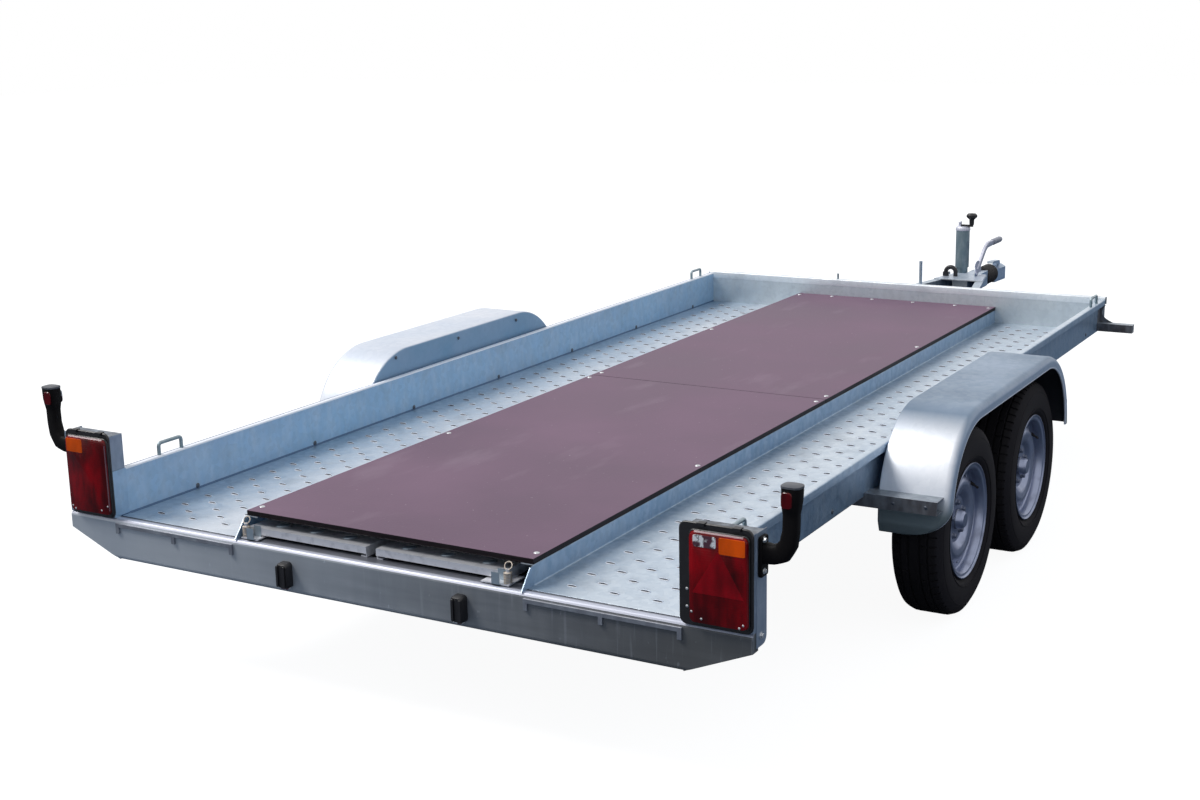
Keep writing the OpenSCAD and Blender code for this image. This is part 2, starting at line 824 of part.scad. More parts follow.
module marker_arm() {
    head_y = marker_span / 2;
    head_w = 44;
    head_d = 44;
    head_h = 62;
    flare_h = 24;
    stem_w = 38;
    stem_d = 32;
    arm_h = 42;
    foot_t = 10;
    foot_h = 100;
    edge = 3;
    arm_low_z = marker_base_z + 38;
    stem_out_y = head_y - 2;
    stem_top_z = marker_top_z - head_h;
    start_y = plate_out_y + foot_t;
    translate([marker_x - 5, plate_out_y, marker_base_z]) cube([stem_d + 10, foot_t, foot_h]);
    // The arm runs out from its foot and turns up to the head
    along_x(marker_x, stem_d) polygon(concat(
        bent([[start_y, arm_low_z], [stem_out_y, arm_low_z], [stem_out_y, stem_top_z]], 60, 6),
        reversed(bent([
            [start_y, arm_low_z + arm_h],
            [stem_out_y - stem_w, arm_low_z + arm_h],
            [stem_out_y - stem_w, stem_top_z]
        ], 24, 6))
    ));
    along_x(marker_x - (head_d - stem_d) / 2, head_d) polygon([
        [stem_out_y - stem_w, stem_top_z], [stem_out_y, stem_top_z],
        [head_y, stem_top_z + flare_h], [head_y, marker_top_z - edge], [head_y - edge, marker_top_z],
        [head_y - head_w + edge, marker_top_z], [head_y - head_w, marker_top_z - edge],
        [head_y - head_w, stem_top_z + flare_h]
    ]);
}

module marker_arms() {
    placed() color(DARK) both_sides() marker_arm();
}

// Number plate lamps on the rear beam
module plate_lamps() {
    placed() color(DARK) both_sides() translate([-plate_lamp_d, plate_lamp_span / 2 - 20, deck_z - 113])
        difference() {
            cube([plate_lamp_d, 40, 75]);
            translate([-cut, -cut, 48]) rotate([0, -35, 0]) cube([60, 42, 60]);
        }
}

// Rails with tabs that hold the ramps' hooks
hook_t = 6;
hook_h = 12;
tab_w = 12;
tab_h = 20;
hook_side_gap = 6;

module hook_rails() {
    rail_in = shelf_out_y + hook_side_gap;
    rail_out = wall_y - hook_side_gap;
    tab_step = (rail_out - rail_in - tab_w) / 2;
    rail_z = deck_z - beam_edge_r - hook_h;
    placed() color(STEEL) both_sides() {
        translate([-hook_t, rail_in, rail_z]) cube([hook_t, rail_out - rail_in, hook_h]);
        for (i = [0 : 2])
            translate([-hook_t, rail_in + i * tab_step, rail_z - tab_h]) cube([hook_t, tab_w, tab_h]);
    }
}

// Lashing hoops on the tops of the walls
hoop_w = 95;
hoop_h = 42;
hoop_r = 4.5;

module lashing_hoops() {
    hoop_y = wall_y + lip_w / 2 + 2;
    placed() color(STEEL) {
        both_sides() for (x = [265, bed_l - 165])
            translate([x, hoop_y, deck_z + wall_h]) hoop(hoop_w, hoop_h - hoop_r, hoop_r, 20);
        translate([bed_l + lip_w / 2 + 1, 290, deck_z + wall_h]) cylinder(h = 35, r = hoop_r);
    }
}

// Front outriggers with their marker lamps
module front_outriggers() {
    bar_h = 35;
    bar_d = 40;
    bar_out_y = wall_y + 155;
    bar_z = deck_z + 5;
    placed() color(STEEL) both_sides() {
        along_y(wall_out_y, bar_out_y - wall_out_y) sheet([
            [bed_l, bar_z + bar_h], [bed_l - bar_d, bar_z + bar_h],
            [bed_l - bar_d, bar_z], [bed_l, bar_z]
        ]);
        translate([bed_l - bar_d + sheet_t, bar_out_y - 60, bar_z + sheet_t])
            cube([bar_d - sheet_t + 12, 56, bar_h - 2 * sheet_t]);
        translate([bed_l - bar_d, 0, bar_z + bar_h]) along_y(wall_out_y, sheet_t) polygon([
            [0, 0], [bar_d, 0], [bar_d - 6, 55], [12, 55]
        ]);
    }
}

// Overrun housing between the drawbar beams, with the plate that lies on them
housing_y = housing_w / 2;
housing_low_z = draw_z - 45;
plate_t = 6;
lever_pivot = [housing_rear_x + 123, rail_nose_z + 23];
lever_in_y = 46;
lever_t = 8;

module overrun_housing() {
    slope = (rail_y - nose_y) / (nose_x - rail_bend_x);
    plate_rear_x = housing_rear_x - 30;
    placed() color(STEEL) {
        along_x(housing_rear_x, housing_l) polygon([
            [-housing_y + 8, housing_low_z], [housing_y - 8, housing_low_z],
            [housing_y, housing_low_z + 8], [housing_y, rail_nose_z],
            [-housing_y, rail_nose_z], [-housing_y, housing_low_z + 8]
        ]);
        translate([0, 0, rail_nose_z]) linear_extrude(plate_t) polygon([
            for (side = [-1, 1], x = side > 0 ? [nose_x, plate_rear_x] : [plate_rear_x, nose_x])
                [x, side * (nose_y + rail_flange - 2 + (nose_x - x) * slope)]
        ]);
        // Lug that carries the handbrake lever
        translate([lever_pivot[0], 0, 0]) along_y(-lever_in_y, 6) polygon([
            [-24, rail_nose_z + plate_t], [24, rail_nose_z + plate_t],
            [14, lever_pivot[1] + 16], [-14, lever_pivot[1] + 16]
        ]);
    }
}

module gaiter() {
    folds = 8;
    pitch = gaiter_l / folds;
    inner = draw_r + 0.3;
    placed() color(DARK) translate([housing_front_x, 0, draw_z]) rotate([0, 90, 0])
        rotate_extrude() polygon(concat(
            [[inner, 0]],
            [for (i = [0 : folds - 1]) each [
                [gaiter_r - 14, i * pitch], [gaiter_r, (i + 0.35) * pitch], [gaiter_r, (i + 0.65) * pitch]
            ]],
            [[gaiter_r - 14, gaiter_l], [inner, gaiter_l]]
        ));
}

ball_x = front_x - nose_r;
ball_z = draw_z - 32;

module coupling_head() {
    head_low_z = ball_z - 18;
    placed() color(STEEL) {
        translate([0, 0, draw_z]) rod_x(housing_front_x, gaiter_l + 60, draw_r);
        difference() {
            union() {
                translate([ball_x, 0, head_low_z]) cylinder(h = 68, r = nose_r);
                translate([0, 0, head_low_z]) linear_extrude(68) polygon([
                    [head_x, -30], [ball_x, -nose_r], [ball_x, nose_r], [head_x, 30]
                ]);
                translate([ball_x, 0, head_low_z + 68]) cylinder(h = 12, r1 = nose_r - 4, r2 = 24);
                // Handle over the head
                along_y(-16, 32) polygon([
                    [ball_x - 30, head_low_z + 68], [ball_x - 4, head_low_z + 78],
                    [ball_x - 20, head_low_z + 104], [head_x + 8, head_low_z + 112],
                    [head_x + 4, head_low_z + 100], [ball_x - 44, head_low_z + 92]
                ]);
            }
            translate([ball_x, 0, head_low_z - cut]) cylinder(h = ball_z - head_low_z + cut, r = ball_r);
            translate([ball_x, 0, ball_z]) sphere(ball_r);
        }
    }
}

// Handbrake lever: a flat bar that leans forward and turns level at its grip
module handbrake_lever() {
    bar_w = 26;
    elbow = lever_pivot + [145, 120];
    tip = lever_pivot + [392, 125];
    placed() color("dimgray") {
        along_y(-lever_in_y - lever_t, lever_t) {
            translate(lever_pivot) circle(16);
            polygon(sheet_outline([
                lever_pivot + [10, -10], elbow + [10, -13], tip + [-90, -13]
            ], bar_w));
        }
        translate([0, 0, tip[1]]) translate([0, -lever_in_y - lever_t / 2, 0])
            rod_x(tip[0] - 110, 110, 14);
    }
}

// Brake rod under the bed
rod_r = 5;
rod_z = housing_low_z + 8;
equaliser_x = axle_front_x + arm_l + 100;

module brake_rod() {
    placed() color(STEEL) {
        translate([0, 0, rod_z]) rod_x(equaliser_x, housing_rear_x - equaliser_x, rod_r);
        translate([equaliser_x - 10, -equaliser_l / 2, rod_z - 12]) cube([10, equaliser_l, 24]);
        // Hanger that holds the bar under a cross member
        hanger_x = cross_x[4] + 10;
        translate([hanger_x, -15, rod_z]) cube([6, 30, cross_low_z - rod_z]);
    }
}

// Jockey wheel
jockey_x = housing_front_x - 45;
clamp_z = draw_z - 20;
clamp_h = 36;
clamp_r = outer_tube_r + 8;
crown_z = 225;
crown_t = 15;
inner_low_z = crown_z + crown_t + 5;
inner_top_z = 600;
swivel_pin_r = 12;
bush_top_z = outer_low_z + 100;
inner_wall = 4;
plug_h = 30;
fork_t = 5;
fork_in = jockey_w / 2 + 5;
spindle_r = 8;

module jockey_clamp() {
    handle_l = 60;
    placed() color(STEEL) translate([jockey_x, 0, clamp_z]) {
        difference() {
            union() {
                translate([0, jockey_y, 0]) cylinder(h = clamp_h, r = clamp_r);
                translate([-22, housing_y, 0]) cube([44, jockey_y - housing_y, clamp_h]);
            }
            translate([0, jockey_y, -cut]) cylinder(h = clamp_h + 2 * cut, r = outer_tube_r + running_gap);
        }
        // Clamping screw with its cross handle
        translate([0, 0, clamp_h / 2]) rod_y(jockey_y + clamp_r - 1, 36, 6);
        translate([0, jockey_y + clamp_r + 30, clamp_h / 2 - handle_l / 2]) cylinder(h = handle_l, r = 5);
    }
}

module jockey_outer_tube() {
    cap_r = outer_tube_r + 2;
    placed() color("lightslategray") translate([jockey_x, jockey_y, 0]) difference() {
        union() {
            translate([0, 0, outer_low_z]) cylinder(h = outer_top_z - outer_low_z, r = outer_tube_r);
            translate([0, 0, outer_top_z - 14]) cylinder(h = 14, r = cap_r);
        }
        translate([0, 0, outer_low_z - cut])
            cylinder(h = 100 + cut, r = inner_tube_r + running_gap);
        translate([0, 0, bush_top_z - cut])
            cylinder(h = outer_top_z - 6 - bush_top_z + cut, r = outer_tube_r - 2.5);
    }
}

module jockey_crank() {
    arm_l = 46;
    knob_z = 28;
    placed() color(DARK) translate([jockey_x, jockey_y, outer_top_z]) {
        cylinder(h = 10, r = 12);
        translate([0, 0, 5]) {
            translate([0, -arm_l, -5]) translate([-9, 0, 0]) cube([18, arm_l, 10]);
            translate([0, -arm_l, -5]) cylinder(h = 10, r = 9);
        }
        translate([0, -arm_l, 10]) rotate_extrude() polygon([
            [0, 0], [12, 0], [13, knob_z], [28, knob_z + 14], [28, knob_z + 24], [20, knob_z + 32], [0, knob_z + 34]
        ]);
    }
}

module jockey_inner_tube() {
    placed() color("silver") translate([jockey_x, jockey_y, 0]) difference() {
        translate([0, 0, inner_low_z]) cylinder(h = inner_top_z - inner_low_z, r = inner_tube_r);
        translate([0, 0, inner_low_z + plug_h])
            cylinder(h = inner_top_z - inner_low_z, r = inner_tube_r - inner_wall);
        translate([0, 0, inner_low_z - cut])
            cylinder(h = plug_h + 2 * cut, r = swivel_pin_r + running_gap);
    }
}

module jockey_fork() {
    placed() color("silver") translate([jockey_x, jockey_y, 0]) {
        translate([0, 0, crown_z]) cylinder(h = inner_low_z + plug_h - crown_z, r = swivel_pin_r);
        translate([-jockey_trail - 22, -fork_in - fork_t, crown_z])
            cube([jockey_trail + 22 + inner_tube_r, 2 * (fork_in + fork_t), crown_t]);
        for (side = [-1, 1]) translate([0, side > 0 ? fork_in : -fork_in - fork_t, 0]) {
            along_y(0, fork_t) {
                polygon([
                    [-jockey_trail - 22, crown_z + cut], [-jockey_trail - 18, jockey_r],
                    [-jockey_trail + 18, jockey_r], [inner_tube_r, crown_z + cut]
                ]);
                translate([-jockey_trail, jockey_r]) circle(18);
            }
        }
        translate([-jockey_trail, 0, jockey_r]) rod_y(-fork_in - fork_t - 6, 2 * (fork_in + fork_t + 6), spindle_r);
    }
}

module jockey_wheel() {
    half = jockey_w / 2;
    placed() color(DARK) translate([jockey_x - jockey_trail, jockey_y, jockey_r]) rotate([-90, 0, 0])
        rotate_extrude() polygon([
            [spindle_r + running_gap, -half - 4], [22, -half - 4], [22, -12], [jockey_r - 38, -12],
            [jockey_r - 34, -half + 4], [jockey_r - 10, -half], [jockey_r, -half + 9],
            [jockey_r, half - 9], [jockey_r - 10, half], [jockey_r - 34, half - 4],
            [jockey_r - 38, 12], [22, 12], [22, half + 4], [spindle_r + running_gap, half + 4]
        ]);
}

// Upright rod on the left drawbar beam
module upright_rod() {
    x = nose_x - 370;
    y = nose_y + (nose_x - x) * (rail_y - nose_y) / (nose_x - rail_bend_x) + rail_flange / 2;
    placed() color(STEEL) translate([x, y, rail_nose_z]) cylinder(h = 116, r = 8);
}

// Plug in its parking place, with the short arch of its lead
module plug_lead() {
    lead_r = 11;
    arch_r = 26;
    arch_y = 72;
    arch_x = nose_x - 110;
    base_z = rail_nose_z + plate_t;
    arch_z = base_z + 20;
    placed() color(DARK) translate([arch_x, arch_y, 0]) {
        translate([0, 0, arch_z]) rotate([90, 0, 90]) rotate_extrude(angle = 180) translate([arch_r, 0]) circle(lead_r);
        translate([0, arch_r, base_z]) cylinder(h = 20, r = lead_r + 5);
        translate([0, -arch_r, base_z]) cylinder(h = 20, r = lead_r);
    }
}

rear_beam();
track_left();
track_right();
front_wall();
deck_board_rear();
deck_board_front();
drawbar_left();
drawbar_right();
cross_members();
ramp_runners();
ramp_left();
ramp_right();
axle_tubes();
swing_arms();
brake_plates();
wheel_rear_left();
wheel_rear_right();
wheel_front_left();
wheel_front_right();
tyre_rear_left();
tyre_rear_right();
tyre_front_left();
tyre_front_right();
mudguard_left();
mudguard_right();
mudguard_sides_left();
mudguard_sides_right();
mudguard_brackets();
lamp_boxes();
tail_lamps();
marker_arms();
plate_lamps();
hook_rails();
lashing_hoops();
front_outriggers();
overrun_housing();
gaiter();
coupling_head();
handbrake_lever();
brake_rod();
jockey_clamp();
jockey_outer_tube();
jockey_crank();
jockey_inner_tube();
jockey_fork();
jockey_wheel();
upright_rod();
plug_lead();
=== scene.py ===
"""Looks of the open car hauler trailer: finishes, finer pieces, light and camera. Lengths are in metres."""
import bmesh
import bpy
from math import copysign, cos, pi, radians, sin, sqrt, tan, tau
from mathutils import Matrix, Vector


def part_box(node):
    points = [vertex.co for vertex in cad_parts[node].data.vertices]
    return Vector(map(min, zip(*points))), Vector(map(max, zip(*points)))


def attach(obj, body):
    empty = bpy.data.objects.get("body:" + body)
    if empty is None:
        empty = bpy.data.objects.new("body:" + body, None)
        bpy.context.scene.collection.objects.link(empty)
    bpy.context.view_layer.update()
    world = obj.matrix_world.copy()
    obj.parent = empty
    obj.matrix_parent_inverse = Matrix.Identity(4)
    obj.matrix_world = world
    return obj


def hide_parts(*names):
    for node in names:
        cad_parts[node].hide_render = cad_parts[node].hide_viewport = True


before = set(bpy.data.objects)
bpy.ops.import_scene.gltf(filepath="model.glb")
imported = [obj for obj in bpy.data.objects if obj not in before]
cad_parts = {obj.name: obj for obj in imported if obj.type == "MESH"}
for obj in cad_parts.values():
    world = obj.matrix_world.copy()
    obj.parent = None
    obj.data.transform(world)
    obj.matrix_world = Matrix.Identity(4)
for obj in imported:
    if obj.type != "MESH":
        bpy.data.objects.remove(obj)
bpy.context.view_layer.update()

# Driving sizes, taken from the frame
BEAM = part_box("rear_beam")
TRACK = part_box("track_left")
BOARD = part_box("deck_board_rear")
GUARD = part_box("mudguard_sides_left")
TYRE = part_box("tyre_rear_left")
REAR_X = BEAM[0].x
DECK_Z = BEAM[1].z
BEAM_D = BEAM[1].x - REAR_X
BED_L = TRACK[1].x - REAR_X
WALL_H = TRACK[1].z - DECK_Z
LIP_Y = TRACK[1].y
SHELF_IN_Y = TRACK[0].y
BOARD_TOP = BOARD[1].z - DECK_Z
BOARD_LOW = BOARD[0].z - DECK_Z
BOARD_Y = BOARD[1].y
BOARD_SPLIT = BOARD[1].x - REAR_X
TYRE_R = (TYRE[1].z - TYRE[0].z) / 2
LIP_W = 0.025
SHEET = 0.003
WALL_Y = LIP_Y - LIP_W
FOLD_R = 0.005
# Points nearer than this are one, and only corners over this angle are softened
SAME = 1e-5
BEVEL_ANGLE = 40

X = Vector((1, 0, 0))
Y = Vector((0, 1, 0))
Z = Vector((0, 0, 1))


def bed(x, y, z):
    """A point measured from the rear beam's rear face, the middle and the track floor."""
    return Vector((REAR_X + x, y, DECK_Z + z))


def middle(name):
    """The middle of a node's box."""
    low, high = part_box(name)
    return (low + high) / 2


def srgb(red, green, blue):
    """A colour as it looks on screen, from 0 to 255, made linear for the shaders."""
    def linear(value):
        share = value / 255
        return share / 12.92 if share <= 0.04045 else ((share + 0.055) / 1.055) ** 2.4
    return (linear(red), linear(green), linear(blue), 1.0)


# Outlines and paths

def circle(radius, count=24, stretch=1.0):
    """Points of a circle, or of an oval whose second axis is stretched."""
    turns = [tau * k / count for k in range(count)]
    return [(radius * cos(t), radius * stretch * sin(t)) for t in turns]


def rounded(low, high, radius, steps=4):
    """A rectangle with round corners."""
    corners = [
        (high[0] - radius, high[1] - radius, 0),
        (low[0] + radius, high[1] - radius, 1),
        (low[0] + radius, low[1] + radius, 2),
        (high[0] - radius, low[1] + radius, 3),
    ]
    points = []
    for a, b, quarter in corners:
        for k in range(steps + 1):
            t = pi / 2 * (quarter + k / steps)
            points.append((a + radius * cos(t), b + radius * sin(t)))
    return points


def inset(points, amount):
    """A convex outline drawn in towards its middle."""
    middle = Vector((sum(p[0] for p in points), sum(p[1] for p in points))) / len(points)
    reach = max((Vector(p) - middle).length for p in points)
    share = 1 - amount / reach
    return [tuple(middle + (Vector(p) - middle) * share) for p in points]


def bent(path, radius, steps=4):
    """A path whose corners are rounded."""
    path = [Vector(p) for p in path]
    points = [path[0]]
    for before, corner, after in zip(path, path[1:], path[2:]):
        into = (corner - before).normalized()
        out = (after - corner).normalized()
        angle = into.angle(out)
        if angle < 0.01:
            points.append(corner)
            continue
        reach = radius * tan(angle / 2)
        start = corner - into * reach
        end = corner + out * reach
        for k in range(steps + 1):
            t = k / steps
            points.append(start * (1 - t) ** 2 + corner * 2 * t * (1 - t) + end * t ** 2)
    points.append(path[-1])
    return points


def spline(points, steps=4):
    """A smooth curve through the points."""
    points = [Vector(p) for p in points]
    ends = [points[0] * 2 - points[1]] + points + [points[-1] * 2 - points[-2]]
    curve = []
    for p0, p1, p2, p3 in zip(ends, ends[1:], ends[2:], ends[3:]):
        for k in range(steps):
            t = k / steps
            curve.append(0.5 * (
                p1 * 2 + (p2 - p0) * t + (p0 * 2 - p1 * 5 + p2 * 4 - p3) * t ** 2
                + (p1 * 3 - p0 - p2 * 3 + p3) * t ** 3))
    curve.append(points[-1])
    return curve


def place(centre, across, up, outline):
    """A flat outline set in space at a centre."""
    return [centre + across * a + up * b for a, b in outline]


class Shape:
    """Gathers simple forms, each with one of the piece's materials, into one mesh."""

    def __init__(self):
        self.points = []
        self.faces = []
        self.looks = []
        self.look = 0

    def add(self, points, faces):
        first = len(self.points)
        self.points += [tuple(p) for p in points]
        self.faces += [tuple(first + i for i in face) for face in faces]
        self.looks += [self.look] * len(faces)

    def quad(self, *corners):
        self.add(corners, [(0, 1, 2, 3)])

    def loft(self, rings, caps=True, loop=False):
        """A skin over rings that all have the same number of points."""
        count = len(rings[0])
        points = [p for ring in rings for p in ring]
        faces = []
        spans = len(rings) if loop else len(rings) - 1
        for i in range(spans):
            low = i * count
            high = ((i + 1) % len(rings)) * count
            for k in range(count):
                after = (k + 1) % count
                faces.append((low + k, low + after, high + after, high + k))
        if caps and not loop:
            faces.append(tuple(range(count))[::-1])
            faces.append(tuple(range(len(points) - count, len(points))))
        self.add(points, faces)

    def prism(self, outline, across, up, start, end, edge=0.0):
        """An outline pushed from one point to another, with narrow bevels at its ends."""
        out = (end - start).normalized()
        rings = [place(start, across, up, outline), place(end, across, up, outline)]
        if edge:
            small = inset(outline, edge)
            rings = [
                place(start, across, up, small), place(start + out * edge, across, up, outline),
                place(end - out * edge, across, up, outline), place(end, across, up, small),
            ]
        self.loft(rings)

    def plate(self, outline, start, end, side=1, edge=0.0):
        """A plate cut to an outline of (distance out, height), between two places along the bed."""
        self.prism([(side * y, DECK_Z + z) for y, z in outline], Y, Z,
                   X * (REAR_X + start), X * (REAR_X + end), edge)

    def panel(self, outline, start, end, side=1, edge=0.0):
        """A plate cut to an outline of (place along the bed, height), between two distances out."""
        self.prism([(REAR_X + x, DECK_Z + z) for x, z in outline], X, Z,
                   Y * side * start, Y * side * end, edge)

    def skin(self, sections, side=1):
        """A skin through outlines of (distance out, height), each at its own place along the bed."""
        self.loft([[bed(x, side * y, z) for y, z in outline] for x, outline in sections])

    def box(self, low, high):
        self.prism([(low.y, low.z), (high.y, low.z), (high.y, high.z), (low.y, high.z)],
                   Y, Z, X * low.x, X * high.x)

    def turned(self, centre, axis, profile, count=24, stretch=1.0, loop=False):
        """A profile of (radius, height) turned about an axis."""
        across = axis.orthogonal().normalized() if abs(axis.x) < 0.9 else Y
        up = axis.cross(across)
        rings = [place(centre + axis * h, across, up, circle(r, count, stretch)) for r, h in profile]
        self.loft(rings, loop=loop)

    def swept(self, path, outline, side, loop=False):
        """An outline carried along a path, turned about one side direction."""
        path = [Vector(p) for p in path]
        rings = []
        last = len(path) - 1
        for i, point in enumerate(path):
            before = path[i - 1] if (i or loop) else point
            after = path[(i + 1) % len(path)] if (i < last or loop) else point
            along = (after - before).normalized()
            across = (side - along * side.dot(along)).normalized()
            rings.append(place(point, across, along.cross(across), outline))
        self.loft(rings, loop=loop)

    def dome(self, centre, axis, radius, height, count=16):
        """A round head."""
        steps = 4
        profile = [(radius * cos(k / steps * 1.45), height * sin(k / steps * 1.45))
                   for k in range(steps + 1)]
        self.turned(centre, axis, [(radius, -height * 0.1)] + profile, count)

    def bolt(self, centre, axis, across_flats, height):
        """A washer, a hexagonal head and the round top of its chamfer."""
        r = across_flats / 2
        self.turned(centre, axis, [(r * 1.5, 0), (r * 1.5, 0.0012), (r * 1.42, 0.0016)], 20)
        self.turned(centre, axis, [(r * 1.12, 0.001), (r * 1.12, height - 0.001), (r * 0.9, height)], 6)

    def mirrored(self):
        """The same forms on the trailer's other side as well."""
        count = len(self.points)
        self.points += [(x, -y, z) for x, y, z in self.points]
        self.faces += [tuple(i + count for i in reversed(face)) for face in self.faces]
        self.looks += self.looks
        return self


def make(name, shape, looks, body="chassis", stands_for=(), sharp=38, merge=False):
    """Turns a shape into a piece that rides on a body."""
    mesh = bpy.data.meshes.new(name)
    mesh.from_pydata(shape.points, [], shape.faces)
    for look in looks:
        mesh.materials.append(LOOKS[look].material)
    mesh.polygons.foreach_set("material_index", shape.looks)
    work = bmesh.new()
    work.from_mesh(mesh)
    if merge:
        bmesh.ops.remove_doubles(work, verts=work.verts, dist=SAME)
    bmesh.ops.recalc_face_normals(work, faces=work.faces)
    limit = radians(sharp)
    for edge in work.edges:
        edge.smooth = len(edge.link_faces) == 2 and edge.calc_face_angle(0) < limit
    for face in work.faces:
        face.smooth = True
    work.to_mesh(mesh)
    work.free()
    piece = bpy.data.objects.new(name, mesh)
    bpy.context.scene.collection.objects.link(piece)
    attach(piece, body)
    if stands_for:
        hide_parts(*stands_for)


def soften(piece, width):
    """Narrow round edges that catch the light."""
    edge = piece.modifiers.new("Edges", "BEVEL")
    edge.width = width
    edge.segments = 2
    edge.limit_method = "ANGLE"
    edge.angle_limit = radians(BEVEL_ANGLE)
    normals = piece.modifiers.new("Flats", "WEIGHTED_NORMAL")
    normals.keep_sharp = True


# Materials

class Nodes:
    """A node tree, and short ways to add to it."""

    def __init__(self, owner):
        owner.use_nodes = True
        self.tree = owner.node_tree

    def feed(self, socket, value):
        if isinstance(value, bpy.types.NodeSocket):
            self.tree.links.new(value, socket)
        else:
            socket.default_value = value

    def node(self, kind, inputs=None, **settings):
        made = self.tree.nodes.new("ShaderNode" + kind)
        for key, value in settings.items():
            setattr(made, key, value)
        for key, value in (inputs or {}).items():
            self.feed(made.inputs[key], value)
        return made


LOOKS = {}


class Look(Nodes):
    """A material: a Principled shader and the textures that feed it."""

    def __init__(self, name, colour, rough, metal=0.0, **sockets):
        self.material = bpy.data.materials.new(name)
        super().__init__(self.material)
        LOOKS[name] = self
        self.shader = self.tree.nodes["Principled BSDF"]
        self.place = None
        self.relief = None
        self.set("Base Color", colour)
        self.set("Roughness", rough)
        self.set("Metallic", metal)
        for socket, value in sockets.items():
            self.set(socket.replace("_", " "), value)

    def set(self, socket, value):
        self.feed(self.shader.inputs[socket], value)

    def where(self, stretch=(1, 1, 1)):
        """Places on the piece in the trailer's own metres, squeezed along each axis."""
        if self.place is None:
            self.place = self.node("TexCoord").outputs["Object"]
        return self.node("Mapping", {"Vector": self.place, "Scale": stretch}).outputs["Vector"]

    def noise(self, scale, detail, stretch=(1, 1, 1)):
        inputs = {"Vector": self.where(stretch), "Scale": scale, "Detail": detail}
        return self.node("TexNoise", inputs).outputs["Fac"]

    def cells(self, scale, output="Color", stretch=(1, 1, 1), **settings):
        inputs = {"Vector": self.where(stretch), "Scale": scale}
        return self.node("TexVoronoi", inputs, **settings).outputs[output]

    def span(self, value, from_low, from_high, low=0.0, high=1.0):
        """A value stretched from one range to another and kept inside it."""
        inputs = {"Value": value, "From Min": from_low, "From Max": from_high, "To Min": low, "To Max": high}
        return self.node("MapRange", inputs).outputs["Result"]

    def facing(self, axis):
        """How far the surface faces along an axis, from -1 to 1."""
        normal = self.node("NewGeometry").outputs["Normal"]
        return self.node("SeparateXYZ", {"Vector": normal}).outputs[axis]

    def at(self, axis):
        """The place along one of the trailer's axes, in metres."""
        return self.node("SeparateXYZ", {"Vector": self.where()}).outputs[axis]

    def along(self, axis):
        """How far the surface faces either way along an axis, from 0 to 1."""
        return self.node("Math", {0: self.facing(axis), 1: 0.0}, operation="ABSOLUTE").outputs[0]

    def mix(self, share, first, second):
        made = self.node("Mix", data_type="RGBA")
        self.feed(made.inputs[0], share)
        self.feed(made.inputs[6], first)
        self.feed(made.inputs[7], second)
        return made.outputs[2]

    def bump(self, height, distance, strength):
        inputs = {"Height": height, "Distance": distance, "Strength": strength}
        if self.relief is not None:
            inputs["Normal"] = self.relief
        self.relief = self.node("Bump", inputs).outputs["Normal"]
        self.set("Normal", self.relief)

    def stain(self, tone, colour, scale, detail, low, high, share, stretch=(1, 1, 1)):
        """A tone with patches of another colour, which grow as a noise runs from low to high."""
        return self.mix(self.span(self.noise(scale, detail, stretch), low, high, high=share), tone, colour)

    def spangled(self, tone, colour, scale, share):
        """A tone with zinc's crystals, and the crystals' own grey."""
        grey = self.node("SeparateColor", {"Color": self.cells(scale)}).outputs["Red"]
        return self.mix(self.span(grey, 0.0, 1.0, 0.0, share), tone, colour), grey


ZINC_ROUGH = 0.42


def zinc_look(name, side, top, low, front=None, foot=None, metal=0.6):
    """Hot dip galvanised sheet with painted light and shade by facing: bluer where it stands upright, a
    front colour where it faces along the bed and lighter on top; then spangle, clouds, faint runs and dull
    dirt.
    """
    side, top, low, front = [srgb(*colour) for colour in (side, top, low, front or side)]
    look = Look(name, top, ZINC_ROUGH, metal)
    # Painted light and shade: upright faces take the side and front colours, upward faces the top colour
    upright = look.mix(look.span(look.along("X"), 0.5, 0.95), side, front)
    if foot:
        # A painted shadow: the floor near the upright sheet at its foot is darkened towards that sheet's
        # tone
        foot_y, foot_shadow_w = foot
        near = look.span(look.at("Y"), foot_y - foot_shadow_w, foot_y - 0.020, 0.0, 0.95)
        top = look.mix(near, top, tuple(0.55 * c for c in side[:3]) + (1.0,))
    tone = look.mix(look.span(look.along("Z"), 0.15, 0.9), upright, top)
    tone = look.stain(tone, low, 2.6, 4.0, 0.34, 0.66, 0.45)
    tone = look.stain(tone, srgb(222, 230, 236), 38.0, 3.0, 0.4, 0.75, 0.25, (1, 1, 0.4))
    tone, grey = look.spangled(tone, srgb(96, 116, 138), 62, 0.14)
    look.set("Base Color", look.stain(tone, srgb(122, 130, 138), 9.0, 5.0, 0.56, 0.78, 0.3))
    look.set("Roughness", look.span(grey, 0.0, 1.0, ZINC_ROUGH - 0.08, ZINC_ROUGH + 0.08))
    look.bump(look.noise(240.0, 2.0), 0.0004, 0.2)
    look.bump(look.noise(14.0, 2.0), 0.002, 0.2)


